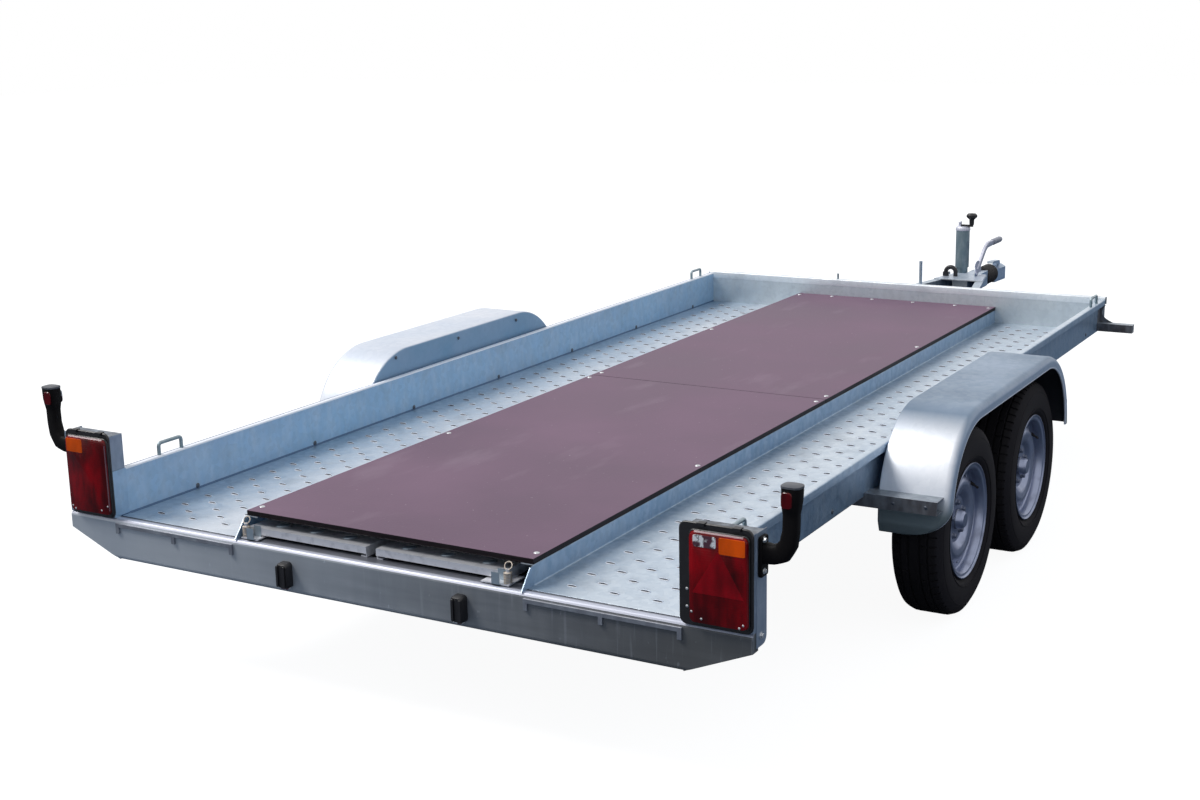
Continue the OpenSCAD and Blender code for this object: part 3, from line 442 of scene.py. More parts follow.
def beam_look():
    """The rear beam: duller zinc with long brush marks and upright stains, and a painted highlight on its
    rolled top edge.
    """
    look = Look("rear_beam_zinc", srgb(150, 153, 160), 0.46, 0.4)
    brush = look.noise(30.0, 5.0, (1, 0.09, 1))
    tone = look.mix(look.span(brush, 0.3, 0.72), srgb(92, 95, 102), srgb(150, 153, 158))
    tone = look.stain(tone, srgb(84, 90, 100), 22.0, 4.0, 0.42, 0.74, 0.6, (1, 1, 0.1))
    tone = look.stain(tone, srgb(120, 122, 126), 4.0, 4.0, 0.35, 0.7, 0.4)
    tone = look.stain(tone, srgb(206, 212, 220), 60.0, 2.0, 0.7, 0.76, 0.6, (1, 1, 0.5))
    # The beam's colour runs lighter to the left and darker to the right
    across = look.at("Y")
    tone = look.mix(look.span(across, -0.9, 0.9, 0.0, 0.75), tone, srgb(214, 220, 226))
    tone = look.mix(look.span(across, -0.95, 0.1, 0.75, 0.0), tone, srgb(78, 78, 76))
    tone = look.stain(tone, srgb(196, 200, 206), 70.0, 3.0, 0.6, 0.72, 0.2, (1, 1, 0.05))
    # Upward faces get a painted highlight on the rolled edge, and painted shade on the flange behind it,
    # which lies in the ramps' shade
    flange = look.span(look.at("X"), REAR_X + 0.016, REAR_X + 0.024, 0.0, 0.85)
    crest_light_and_shade = look.mix(flange, srgb(190, 192, 204), srgb(60, 62, 70))
    upward = look.span(look.facing("Z"), 0.2, 0.6)
    look.set("Base Color", look.mix(upward, tone, crest_light_and_shade))
    look.set("Metallic", look.span(across, -1.0, -0.2, 0.12, 0.4))
    look.set("Roughness", look.span(look.noise(4.0, 4.0), 0.3, 0.7, 0.36, 0.52))
    look.bump(look.noise(90.0, 2.0, (1, 0.1, 1)), 0.0004, 0.3)


def guard_look(name, crown, side):
    """Bright smooth mudguards with painted light and shade: a painted highlight makes the rear slopes nearly
    white, the sides are painted bluer and painted shade darkens them low down.
    """
    look = Look(name, crown, 0.36, 0.35)
    rearward = look.facing("X")
    top = look.mix(look.span(look.facing("Z"), 0.25, 0.85), side, crown)
    # Painted highlight: nearly white on the faces that turn to the rear
    tone = look.mix(look.span(rearward, -0.75, -0.3, 1.0, 0.0), top, srgb(248, 248, 250))
    tone = look.stain(tone, srgb(188, 202, 220), 3.2, 4.0, 0.36, 0.7, 0.4)
    tone, grey = look.spangled(tone, srgb(120, 138, 160), 60, 0.08)
    # Painted shade below the deck
    low = look.span(look.at("Z"), DECK_Z - 0.050, DECK_Z + 0.005, 1.0, 0.0)
    look.set("Base Color", look.mix(low, tone, srgb(142, 152, 150)))
    look.set("Roughness", look.span(grey, 0.0, 1.0, 0.40, 0.52))
    look.set("Metallic", look.span(rearward, -1.0, -0.9, 0.02, 0.28))
    look.bump(look.noise(11.0, 2.0), 0.002, 0.15)


def board_look():
    """Film faced plywood: a brown film with a fine anti-slip mesh, and dark sealed edges."""
    look = Look("film_faced_ply", srgb(112, 86, 106), 0.5, Specular_IOR_Level=0.15)
    cloud = look.span(look.noise(1.7, 5.0), 0.35, 0.68)
    film = look.mix(cloud, srgb(104, 78, 98), srgb(126, 100, 118))
    film = look.stain(film, srgb(152, 134, 146), 7.0, 6.0, 0.6, 0.76, 0.28, (0.35, 1, 1))
    film = look.stain(film, srgb(186, 176, 180), 95.0, 1.0, 0.76, 0.82, 0.4)
    film = look.mix(0.06, film, srgb(40, 30, 40))
    edge = look.stain(srgb(20, 15, 19), srgb(38, 30, 32), 420.0, 1.0, 0.42, 0.6, 0.7, (0.02, 0.02, 1))
    top = look.span(look.facing("Z"), 0.55, 0.8)
    look.set("Base Color", look.mix(top, edge, film))
    look.set("Roughness", look.span(cloud, 0.0, 1.0, 0.42, 0.56))
    look.bump(look.cells(170.0, "Distance", (1, 1, 0.01), feature="F1"), 0.0006, 0.35)


def tyre_look():
    """Black rubber, greyer on the sidewalls and dusty in the tread."""
    look = Look("tyre_rubber", srgb(20, 18, 22), 0.8, Specular_IOR_Level=0.22)
    flank = look.span(look.along("Y"), 0.4, 0.9)
    tone = look.mix(flank, srgb(15, 13, 17), srgb(27, 25, 30))
    look.set("Base Color", look.stain(tone, srgb(40, 37, 38), 16.0, 5.0, 0.5, 0.8, 0.4))
    look.bump(look.noise(700.0, 1.0), 0.0002, 0.3)


def rim_look():
    """Silver wheel paint with brake dust in its hollows."""
    look = Look("rim_paint", srgb(146, 154, 176), 0.34, 0.7)
    dust = look.span(look.noise(22.0, 4.0), 0.5, 0.75, 0.0, 0.35)
    look.set("Base Color", look.mix(dust, srgb(150, 158, 182), srgb(104, 106, 120)))
    look.set("Roughness", look.span(dust, 0.0, 0.35, 0.32, 0.55))


def lens_look(name, colour, shade, streaks):
    """Moulded plastic over a reflector, with small prisms and upright dark streaks behind it."""
    look = Look(name, colour, 0.2, Specular_IOR_Level=0.22, Coat_Weight=0.08, Coat_Roughness=0.1)
    ribs = look.node("TexWave", {"Vector": look.where(), "Scale": 52.0}, bands_direction="Z").outputs["Fac"]
    dark = tuple(c * shade for c in colour[:3]) + (1.0,)
    tone = look.stain(dark, colour, 15.0, 3.0, 0.34, 0.64, 1.0, (1, 1, 0.5))
    look.set("Base Color", look.stain(tone, dark, 34.0, 4.0, 0.46, 0.66, streaks, (1, 1, 0.22)))
    look.bump(ribs, 0.0004, 0.16)


def clear_look():
    """A clear lens over a bright reflector: a few white glints on dull rose and grey."""
    look = Look("clear_lens", srgb(200, 190, 190), 0.15, Specular_IOR_Level=0.4)
    tone = look.stain(srgb(92, 58, 68), srgb(240, 240, 238), 42.0, 2.0, 0.46, 0.56, 1.0)
    look.set("Base Color", look.stain(tone, srgb(58, 50, 54), 150.0, 1.0, 0.58, 0.66, 0.7))


def plain_look(name, colour, rough, metal=0.0, worn=None, **sockets):
    """A finish with a little wear, in a second colour, and fine grain."""
    look = Look(name, srgb(*colour), rough, metal, **sockets)
    if worn:
        look.set("Base Color", look.stain(srgb(*colour), srgb(*worn), 34.0, 5.0, 0.52, 0.74, 0.5))
    look.bump(look.noise(300.0, 2.0), 0.0002, 0.3)


# The zinc looks' side, top and front colours are painted light and shade by facing
FRONT_GREY = (206, 208, 208)
zinc_look("galvanised", (160, 190, 222), (186, 194, 206), (164, 184, 206), FRONT_GREY)
# The trays are lit and shaded copies of the zinc, each with a painted shadow on its floor beside an upright
# sheet
zinc_look("tray_zinc_left", (158, 196, 226), (224, 228, 234), (164, 184, 206), FRONT_GREY, (WALL_Y, 0.30))
zinc_look("tray_zinc_right", (146, 174, 200), (212, 220, 228), (172, 190, 208), FRONT_GREY, (-BOARD_Y, 0.16))
zinc_look("front_zinc", (160, 172, 184), (250, 252, 255), (176, 190, 200), (200, 206, 208))
# A darker copy of the zinc: painted shade on the brackets, outriggers and corner plates
zinc_look("bracket_zinc", (116, 116, 120), (150, 158, 166), (104, 106, 110), (104, 100, 102))
# The lamp boxes' tops are painted dark: a painted reflection
zinc_look("box_zinc", (158, 172, 190), (40, 40, 50), (140, 150, 164), metal=0.35)
zinc_look("rail_zinc", (140, 142, 150), (190, 190, 198), (128, 130, 138))
zinc_look("tube_zinc", (134, 154, 160), (170, 182, 188), (112, 130, 136))
# A lighter copy of the zinc: a painted highlight on the front wall's hem
zinc_look("hem_highlight_zinc", (210, 218, 224), (250, 252, 255), (196, 206, 212), (236, 240, 242))
zinc_look("frame_zinc", (126, 138, 152), (190, 200, 210), (128, 138, 148))
beam_look()
# The mudguards are lit and shaded copies of one zinc: the left crown is painted light, the right crown
# painted shade
guard_look("guard_zinc_left", srgb(226, 228, 234), srgb(122, 164, 194))
guard_look("guard_zinc_right", srgb(104, 123, 143), srgb(172, 188, 206))
board_look()
tyre_look()
rim_look()
clear_look()
for name, colour, shade, streaks in (
        ("red_lens", (150, 0, 12), 0.16, 0.7), ("marker_lens", (112, 0, 12), 0.3, 0.5),
        ("triangle_lens", (168, 2, 20), 0.4, 0.45), ("amber_lens", (255, 96, 2), 0.55, 0.3)):
    lens_look(name, srgb(*colour), shade, streaks)
# Name, colour, roughness, metal and worn colour
for values in (
        # A painted highlight: on the tray lips, the louvres' lips and patches and the right mudguard's wired
        # edge
        ("painted_highlight_zinc", (250, 251, 255), 0.3, 0.1),
        # Painted shade lines: in the left tray's folds and crease, under the front wall's hem and on the
        # left mudguard's wired edge
        ("painted_shade_line", (78, 104, 136), 0.5, 0.4),
        # Painted shade: the mudguards' insides and the dark sheet under the ramps
        ("painted_dark_shade", (40, 42, 48), 0.7, 0.1, (60, 62, 68)),
        ("lever_zinc", (214, 214, 226), 0.35, 0.4, (160, 158, 176)),
        ("grip_grey", (160, 160, 168), 0.5, 0.0, (190, 190, 198)),
        ("wheel_bolt", (112, 118, 134), 0.4, 0.5),
        ("black_plastic", (20, 19, 23), 0.42, 0.0, (40, 39, 44)),
        ("black_paint", (34, 33, 36), 0.4, 0.1, (82, 78, 76)),
        ("black_rubber", (20, 18, 21), 0.66, 0.0, (34, 32, 34)),
        ("dull_screw", (84, 90, 100), 0.45, 0.4),
        ("cap_rubber", (78, 80, 86), 0.5, 0.0, (96, 98, 104)),
        ("ramp_steel", (226, 226, 230), 0.34, 0.5, (150, 152, 160)),
        ("zinc_plate", (168, 182, 192), 0.32, 0.6, (196, 206, 212)),
        # Painted shade in the louvres' mouths and along the floor's rear gap
        ("painted_slit_shade", (30, 36, 54), 0.7),
        ("bolt_zinc", (206, 208, 210), 0.3, 0.75, (150, 146, 138)),
        ("brass_passivate", (204, 192, 178), 0.32, 0.6, (150, 140, 126))):
    plain_look(*values)
plain_look("arm_rubber", (8, 6, 8), 0.6, worn=(16, 13, 15), Specular_IOR_Level=0.12)
# A painted highlight along the lenses' top slope and the left lamp's inner edge
plain_look("lens_edge_highlight", (120, 74, 82), 0.3, Coat_Weight=0.15)


# Finishes of the nodes: slot, look, width of the soft edges, and the nodes' names
WIDE = 0.001
USUAL = 0.0008
NARROW = 0.0006
FINISHES = (
    ("galvanised", "rear_beam_zinc", WIDE, "rear_beam"),
    ("galvanised", "galvanised", USUAL, "overrun_housing coupling_head jockey_clamp upright_rod"),
    ("galvanised", "rail_zinc", USUAL, "hook_rails"),
    ("galvanised", "frame_zinc", USUAL,
     "drawbar_left drawbar_right cross_members axle_tubes swing_arms brake_rod"),
    ("galvanised", "bracket_zinc", USUAL, "mudguard_brackets front_outriggers"),
    ("galvanised", "box_zinc", USUAL, "lamp_boxes"),
    ("deck_board", "film_faced_ply", WIDE, "deck_board_rear deck_board_front"),
    ("ramp_steel", "ramp_steel", NARROW, "ramp_left ramp_right"),
    ("black_plastic", "black_plastic", NARROW, "ramp_runners jockey_crank plug_lead"),
    ("black_paint", "black_paint", USUAL, "brake_plates"),
    ("rim_paint", "rim_paint", 0.0, "wheel_rear_left wheel_rear_right wheel_front_left wheel_front_right"),
    ("black_rubber", "black_rubber", 0.0, "gaiter jockey_wheel"),
    ("zinc_plate", "zinc_plate", NARROW, "jockey_inner_tube jockey_fork"),
    ("zinc_plate", "lever_zinc", NARROW, "handbrake_lever"),
    ("zinc_plate", "tube_zinc", NARROW, "jockey_outer_tube"),
)
for slot, look, bevel, nodes in FINISHES:
    for name in nodes.split():
        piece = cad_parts[name]
        piece.data.materials.clear()
        piece.data.materials.append(LOOKS[look].material)
        weld = piece.modifiers.new("Weld", "WELD")
        weld.merge_threshold = SAME
        if bevel:
            soften(piece, bevel)


# Track trays with their pressed floor

LOUVRE_ROWS = [0.567, 0.629, 0.691, 0.753, 0.815]
LOUVRE_PITCH = 0.100
ROW_PITCH = 0.062
LOUVRE_W = 0.0150
LOUVRE_L = 0.0150
LOUVRE_HIGHLIGHT_L = 0.0058
LOUVRE_RISE = 0.0050
LOUVRE_LIP = 0.0017
# The left tray's rows lie a little further out
ROW_SHIFT = {1: 0.036, -1: 0.0}
SHADE_LINE_W = 0.0085
NEAR = 0.0005
# The trays' materials, by their places in its list: the sheet, painted slit shade, painted highlight and
# painted shade lines
SHEET_LOOK = 0
SLIT_SHADE_LOOK = 1
HIGHLIGHT_LOOK = 2
SHADE_LINE_LOOK = 3


def tray_path():
    return bent([
        (LIP_Y, WALL_H - LIP_W), (LIP_Y, WALL_H), (LIP_Y - SHADE_LINE_W, WALL_H), (WALL_Y, WALL_H), (WALL_Y, 0),
        (BOARD_Y, 0), (BOARD_Y, BOARD_LOW), (SHELF_IN_Y, BOARD_LOW),
    ], FOLD_R, 3)


def sheet_back(path, thickness):
    """The other face of a folded sheet, on the path's left."""
    back = []
    last = len(path) - 1
    for i, point in enumerate(path):
        into = (path[max(i, 1)] - path[max(i, 1) - 1]).normalized()
        out = (path[min(i, last - 1) + 1] - path[min(i, last - 1)]).normalized()
        left = Vector((-into.y, into.x)) + Vector((-out.y, out.x))
        left.normalize()
        back.append(point + left * thickness / max(left.dot(Vector((-into.y, into.x))), 0.5))
    return back


def louvre(shape, side, x, y, level, count):
    """One cell of the floor: a raised half moon whose arched mouth faces the rear, with a painted highlight
    on its lip and on a patch behind it, and painted shade in the mouth.
    """
    border, rim, mouth, lip, foot = [], [], [], [], []
    for a, b in circle(1.0, count):
        reach = max(abs(a), abs(b))
        across = side * (y + LOUVRE_W * b)
        length = LOUVRE_L if a > 0 else LOUVRE_HIGHLIGHT_L
        border_x = max(x + LOUVRE_PITCH / 2 * a / reach, BEAM_D)
        border.append(bed(border_x, side * (y + ROW_PITCH / 2 * b / reach), level))
        rim.append(bed(x + length * a, across, level))
        rise = LOUVRE_RISE * abs(a) ** 0.7
        mouth.append(bed(x, across, level + rise))
        lip.append(bed(x, across, level + max(rise - LOUVRE_LIP, 0.0)))
        foot.append(bed(x, across, level))
    shape.look = SHEET_LOOK
    shape.loft([border, rim], caps=False)
    front = [k % count for k in range(-count // 4, count // 4)]
    rear = range(count // 4, 3 * count // 4)
    for look, first, second, part in (
            (SHEET_LOOK, rim, mouth, front), (HIGHLIGHT_LOOK, mouth, lip, front),
            (SLIT_SHADE_LOOK, lip, foot, front), (HIGHLIGHT_LOOK, rim, foot, rear)):
        shape.look = look
        for k in part:
            after = (k + 1) % count
            shape.quad(first[k], first[after], second[after], second[k])
    shape.look = SHEET_LOOK


def tray(name, side):
    """A track tray: its folded sheet as bands along the bed, with the pressed pattern let into the floor."""
    shape = Shape()
    path = tray_path()
    back = sheet_back(path, SHEET)
    row_ys = [y + ROW_SHIFT[side] for y in LOUVRE_ROWS]
    low_y = row_ys[0] - ROW_PITCH / 2
    high_y = row_ys[-1] + ROW_PITCH / 2
    front_end = BED_L - LOUVRE_PITCH / 2

    def band(x0, x1, first, second):
        """A strip of sheet between two points of the section."""
        shape.quad(bed(x0, side * first[0], first[1]), bed(x1, side * first[0], first[1]),
                   bed(x1, side * second[0], second[1]), bed(x0, side * second[0], second[1]))

    for line, level in ((path, 0.0), (back, -SHEET)):
        for a, b in zip(line, line[1:]):
            shape.look = SHEET_LOOK
            if side > 0:
                # The left tray gets a painted shade line in its fold at the wall's foot and along the lip's
                # outer edge, and a painted highlight on the rest of the lip
                in_fold = abs(a.y) + abs(b.y) > NEAR and max(abs(a.y), abs(b.y)) < FOLD_R + NEAR
                if level == 0.0 and min(a.y, b.y) > WALL_H - FOLD_R - NEAR:
                    shape.look = SHADE_LINE_LOOK if min(a.x, b.x) > LIP_Y - SHADE_LINE_W - NEAR else HIGHLIGHT_LOOK
                elif in_fold and min(a.x, b.x) > high_y:
                    shape.look = SHADE_LINE_LOOK
            spans = [(a.x, b.x)]
            if max(abs(a.y - level), abs(b.y - level)) < NEAR / 5 and a.x > high_y > b.x:
                spans = [(a.x, high_y), (low_y, b.x)]
                band(front_end, BED_L, (low_y, level), (high_y, level))
            for y0, y1 in spans:
                band(BEAM_D, BED_L, (y0, a.y), (y1, b.y))
    shape.look = SHEET_LOOK
    for i in (0, -1):
        band(BEAM_D, BED_L, path[i], back[i])
    for x in (BEAM_D, BED_L):
        for (a, b), (c, d) in zip(zip(path, back), zip(path[1:], back[1:])):
            shape.quad(*[bed(x, side * p.x, p.y) for p in (a, c, d, b)])
    # Rows start by turns a half pitch further on, and flat strips fill their ends
    for i, y in enumerate(row_ys):
        start = LOUVRE_PITCH * (1.0 if i % 2 == 0 else 1.5)
        near = start - LOUVRE_PITCH / 2
        count = int((front_end - near) / LOUVRE_PITCH + 0.001)
        far = near + count * LOUVRE_PITCH
        for level, corners in ((0.0, 16), (-SHEET, 8)):
            for k in range(count):
                louvre(shape, side, start + k * LOUVRE_PITCH, y, level, corners)
            for x0, x1 in ((BEAM_D, near), (far, front_end)):
                if x1 - x0 > 0.001:
                    band(x0, x1, (y - ROW_PITCH / 2, level), (y + ROW_PITCH / 2, level))
    piece_over_beam(shape, side)
    looks = ["tray_zinc_left" if side > 0 else "tray_zinc_right", "painted_slit_shade", "painted_highlight_zinc", "painted_shade_line"]
    make(name + "_pressed", shape, looks, stands_for=[name], merge=True)


def piece_over_beam(shape, side):
    """The walls run on over the rear beam, the inner one cut back to a slope."""
    slope = BOARD_LOW - 0.012
    slope_top = slope + 0.008
    lap = 0.0012
    lap_x = 0.028
    end = BEAM_D + 0.001
    shape.panel([(lap_x, 0), (end, 0), (end, lap), (lap_x + 0.001, lap)], BOARD_Y, WALL_Y, side)
    # Painted shade: a dark strip for the gap along the floor's rear edge
    shape.look = SLIT_SHADE_LOOK
    gap = lap_x - 0.003
    shape.panel([(gap, 0), (lap_x, 0), (lap_x, lap), (gap, 0.0003)], BOARD_Y, WALL_Y, side)
    shape.look = SHEET_LOOK
    shape.panel([(SHEET, 0), (BEAM_D, 0), (BEAM_D, WALL_H), (SHEET, WALL_H)], WALL_Y, WALL_Y + SHEET, side)
    if side > 0:
        # The painted shade line in the crease at the wall's foot runs on over the beam
        shape.look = SHADE_LINE_LOOK
        shape.box(bed(lap_x, WALL_Y - 0.0022, lap), bed(BEAM_D, WALL_Y, lap + 0.0020))
        shape.look = SHEET_LOOK
    inner = [(0, 0), (BEAM_D, 0), (BEAM_D, slope_top), (slope, slope_top)]
    shape.panel(inner, BOARD_Y - SHEET, BOARD_Y, side)


tray("track_left", 1)
tray("track_right", -1)


def front_wall():
    """The front wall with a hem along its top, and a foot that stops short of the trays' corners."""
    shape = Shape()
    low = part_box("front_wall")[0]
    foot_z = low.z - DECK_Z + SHEET
    foot_y = 0.820
    depth = low.x - REAR_X
    top = WALL_H + 0.006
    hem_low = top - 0.028
    hem_x = BED_L - 0.0035
    hem_top = top + 0.0012

    def folded(path, radius, steps, thickness, out_y):
        """A sheet folded along a path of (place along the bed, height), right across the bed."""
        path = bent(path, radius, steps)
        section = path + sheet_back(path, thickness)[::-1]
        shape.loft([[bed(p.x, y, p.y) for p in section] for y in (-out_y, out_y)])

    wall = [(BED_L + LIP_W, WALL_H - LIP_W), (BED_L + LIP_W, top), (BED_L, top), (BED_L, 0.0)]
    folded(wall, FOLD_R, 4, -SHEET, LIP_Y)
    folded([(BED_L, 0.0), (BED_L, foot_z), (depth, foot_z)], FOLD_R, 4, -SHEET, foot_y)
    # The hem, turned down on the inside and painted lighter as a highlight, and the painted shadow line that
    # it casts on the wall
    shape.look = 1
    folded([(BED_L + 0.003, hem_top), (hem_x, hem_top), (hem_x, hem_low)], 0.003, 3, 0.0015, LIP_Y)
    shape.look = 2
    shape.box(bed(BED_L - 0.0012, -WALL_Y, hem_low - 0.0035), bed(BED_L, WALL_Y, hem_low))
    make("front_wall_hemmed", shape, ["front_zinc", "hem_highlight_zinc", "painted_shade_line"],
         stands_for=["front_wall"])


front_wall()


# Fixings along the bed

def board_screws():
    """Round screw heads near the long edges and the ends of the deck boards."""
    shape = Shape()
    edge_y = BOARD_Y - 0.018
    end_gap = 0.045
    spots = [(BED_L - 0.035, y) for y in (-0.30, -0.10, 0.10, 0.30)]
    for start, end in ((BEAM_D, BOARD_SPLIT), (BOARD_SPLIT + SHEET, BED_L - SHEET)):
        for x in (start + end_gap, (start + end) / 2, end - end_gap):
            spots += [(x, -edge_y), (x, edge_y)]
    for x, y in spots:
        shape.dome(bed(x, y, BOARD_TOP), Z, 0.0085, 0.0028)
    make("board_screws", shape, ["bolt_zinc"])


# A drawbar beam's inner face, as seen from above, and the bend where it rises
BAR_TIP_X = 5.140
BAR_TIP_Y = 0.045
BAR_SLOPE = (0.560 - BAR_TIP_Y) / (BAR_TIP_X - 2.750)
BAR_BEND_X = 4.003
BAR_BEND_L = 0.230
BAR_RISE = 0.063
BAR_BOLT_Z = -0.083


def bed_bolts():
    """Bolts and rivets through the walls, brackets, beam ends and drawbar."""
    shape = Shape()

    def heads(places, way, radius, height=0.003, count=16):
        for x, y, z in places:
            shape.dome(bed(x, y, z), way, radius, height, count)

    shape.look = 1
    # Mudguard inner panels, seen over the walls
    heads([(x, WALL_Y + 0.0255, WALL_H + 0.065) for x in (1.43, 1.83, 2.24)], -Y, 0.0065)
    # Brackets under the mudguards' ends
    for x, way in ((GUARD[0].x - REAR_X - 0.050, -X), (GUARD[1].x - REAR_X + 0.050, X)):
        heads([(x, y, -0.008) for y in (1.035, 1.135)], way, 0.0055, 0.0028, 14)
    # Outer walls to the cross members
    cross_xs = [0.35 + k * 0.57 for k in range(7)]
    heads([(x, WALL_Y + SHEET, 0.022) for x in cross_xs], Y, 0.0075)
    heads([(x, WALL_Y, 0.009) for x in cross_xs], -Y, 0.0085)
    # Along the front wall
    heads([(BED_L, WALL_Y - 0.030, z) for z in (0.035, 0.075)], -X, 0.0070)
    heads([(BED_L, y, 0.098) for y in (0.05, 0.30, 0.42, 0.71)], -X, 0.0070)
    shape.look = 0
    # Drawbar beams where they leave the bed
    for x in (4.10, 4.90, 5.06):
        y = BAR_TIP_Y + (BAR_TIP_X - x) * BAR_SLOPE
        rise = BAR_RISE * min(1, max(0, (x - BAR_BEND_X) / BAR_BEND_L))
        shape.bolt(bed(x, y, BAR_BOLT_Z + rise), -Y, 0.016, 0.009)
    # Marker arm feet and lamp box plates
    for x, y, z, flats in ((0.034, 1.1325, 0.150, 0.010), (0.034, 1.1325, 0.226, 0.010),
                           (0.040, 1.1225, -0.014, 0.012)):
        shape.bolt(bed(x, y, z), Y, flats, 0.006)
    shape.mirrored()
    make("bed_bolts", shape, ["bolt_zinc", "dull_screw"])


board_screws()
bed_bolts()


# Mudguards: one folded skin with a round outer shoulder, an inner panel and a wired edge

GUARD_R = 0.292
GUARD_T = 0.0025
GUARD_PANEL = 0.140
GUARD_SKIRT = 0.038
GUARD_SHOULDER = 0.022
INNER_FOLD = 0.006
# The rear end's round lower corner, and the bend of its last strip
CORNER_TOP = -0.020
CORNER_H = 0.100
CORNER_W = 0.130
BEND_H = 0.034
BEND_X = 0.013


def quarter(centre, radius, start, end, steps):
    """An arc of (distance out, depth) round a fold's centre, in degrees."""
    turns = [radians(start + (end - start) * k / steps) for k in range(steps + 1)]
    return [(centre[0] + radius * cos(t), centre[1] - radius * sin(t)) for t in turns]


def skirt_depth(share):
    return GUARD_SKIRT * (1 - 0.58 * share)


def guard_section(out_y, share):
    """A mudguard's folded sheet across its arch. The share is how far the round corner has drawn in."""
    in_y = GUARD[0].y
    shoulder = GUARD_SHOULDER * (1 - 0.5 * share)
    inner = (in_y + INNER_FOLD, INNER_FOLD)
    outer = (out_y - shoulder, shoulder)

    def line(depth):
        return ([(in_y + depth, GUARD_PANEL)] + quarter(inner, INNER_FOLD - depth, 180, 90, 3)
                + quarter(outer, shoulder - depth, 90, 0, 8) + [(out_y - depth, skirt_depth(share))])
    return line(0.0) + line(GUARD_T)[::-1]


def guard_stations():
    """Places along the arch from the front end to the rear: a point, the way in and the corner's share."""
    centre_z = GUARD[1].z - GUARD_R
    steps = 26
    stations = []
    for end, start in ((GUARD[1].x - GUARD_R, 0), (GUARD[0].x + GUARD_R, 90)):
        for k in range(steps + 1):
            t = radians(start + 90 * k / steps)
            out = Vector((cos(t), 0, sin(t)))
            stations.append((Vector((end, 0, centre_z)) + out * GUARD_R, -out))
    leg = 12
    for k in range(1, leg + 1):
        z = centre_z + (GUARD[0].z - centre_z) * k / leg
        bend = max(0.0, GUARD[0].z + BEND_H - z) / BEND_H
        stations.append((Vector((GUARD[0].x + BEND_X * bend, 0, z)), X))
    middle = (GUARD[0].x + GUARD[1].x) / 2
    shares = []
    for point, _ in stations:
        low = min(max((DECK_Z + CORNER_TOP - point.z) / CORNER_H, 0.0), 1.0)
        shares.append(1 - sqrt(1 - low * low) if point.x < middle else 0.0)
    return [(point, inward, share) for (point, inward), share in zip(stations, shares)]


def mudguard(side):
    shape = Shape()
    rings = []
    wire = []
    roll = 0.0034
    for point, inward, share in guard_stations():
        out_y = GUARD[1].y - CORNER_W * share
        rings.append([point + inward * depth + Y * side * y for y, depth in guard_section(out_y, share)])
        wire.append(point + inward * skirt_depth(share) + Y * side * (out_y - roll * 0.8))
    shape.loft(rings)
    # The section's second half is the inside of the sheet, painted dark as shade
    count = len(rings[0])
    for i in range(len(rings) - 1):
        for k in range(count // 2, count - 1):
            shape.looks[i * count + k] = 1
    # The wired edge: painted shade on the left mudguard and a painted highlight on the right one
    shape.look = 2
    shape.swept(wire, circle(roll, 8), Y)
    name = "left" if side > 0 else "right"
    looks = ["guard_zinc_" + name, "painted_dark_shade", "painted_shade_line" if side > 0 else "painted_highlight_zinc"]
    make("mudguard_folded_" + name, shape, looks,
         stands_for=["mudguard_" + name, "mudguard_sides_" + name], sharp=50)


mudguard(1)
mudguard(-1)


# Tyres with their tread

TREAD_COLUMNS = (0.0, 0.03, 0.19, 0.22, 0.48, 0.74)
TREAD_PITCHES = 64
GROOVE_DEPTH = 0.0065
SLOT_DEPTH = 0.0050
# The middle ribs, and where the crown starts to fall away
RIB_IN = 0.0135
RIB_OUT = 0.0385
CROWN_Y = 0.0435
SHOULDER_Y = 0.046


def tyre_section():
    """Half a tyre's section from the bead to the shoulder, then the crown with its grooves."""
    half = 0.0835
    flank = spline([
        (0.1683, 0.064), (0.174, 0.067), (0.188, 0.0685), (0.202, half - 0.003), (0.234, half),
        (0.266, half - 0.003), (0.2895, half - 0.0145),
    ], 3)
    flank = [(p.x, p.y, 0.0) for p in flank]
    crown = []
    for y, groove in ((0.0665, 0), (0.0610, 0), (0.0465, 0), (0.0455, 1), (0.0395, 1), (RIB_OUT, 0),
                      (0.0215, 0), (0.0205, 1), (0.0145, 1), (RIB_IN, 0), (0.0040, 0)):
        drop = 0.0 if y < CROWN_Y else 0.009 * ((y - CROWN_Y) / 0.023) ** 1.6
        crown.append((TYRE_R - drop - GROOVE_DEPTH * groove, y, 1.0))
    right = flank + crown
    left = [(r, -y, tread) for r, y, tread in reversed(right)]
    return right + left


def tyre(name, body):
    centre = middle(name)
    section = tyre_section()
    rings = []
    for k in range(TREAD_PITCHES):
        for column, share in enumerate(TREAD_COLUMNS):
            t = tau * (k + share) / TREAD_PITCHES
            out = Vector((cos(t), 0, sin(t)))
            slot = column in (1, 2)
            ring = []
            for r, y, tread in section:
                # Slots cross the shoulders, and short ones nick the middle ribs by turns
                shoulder = abs(y) > SHOULDER_Y
                nick = RIB_IN < abs(y) < RIB_OUT and (k + (y > 0)) % 2 == 0
                cut = SLOT_DEPTH if tread and slot and (shoulder or nick) else 0.0
                if tread and r < TYRE_R - GROOVE_DEPTH / 2 and not shoulder:
                    cut = 0.0
                ring.append(centre + out * (r - cut) + Y * y)
            rings.append(ring)
    shape = Shape()
    shape.loft(rings, loop=True)
    # Raised rings on the sidewalls
    for side in (1, -1):
        for r, y in ((0.2075, 0.0826), (0.2640, 0.0806)):
            path = [centre + Vector((a, side * y, b)) for a, b in circle(r, 96)]
            shape.swept(path, circle(0.0013, 6), Y, loop=True)
    make(name + "_treaded", shape, ["tyre_rubber"], body, [name], sharp=30)


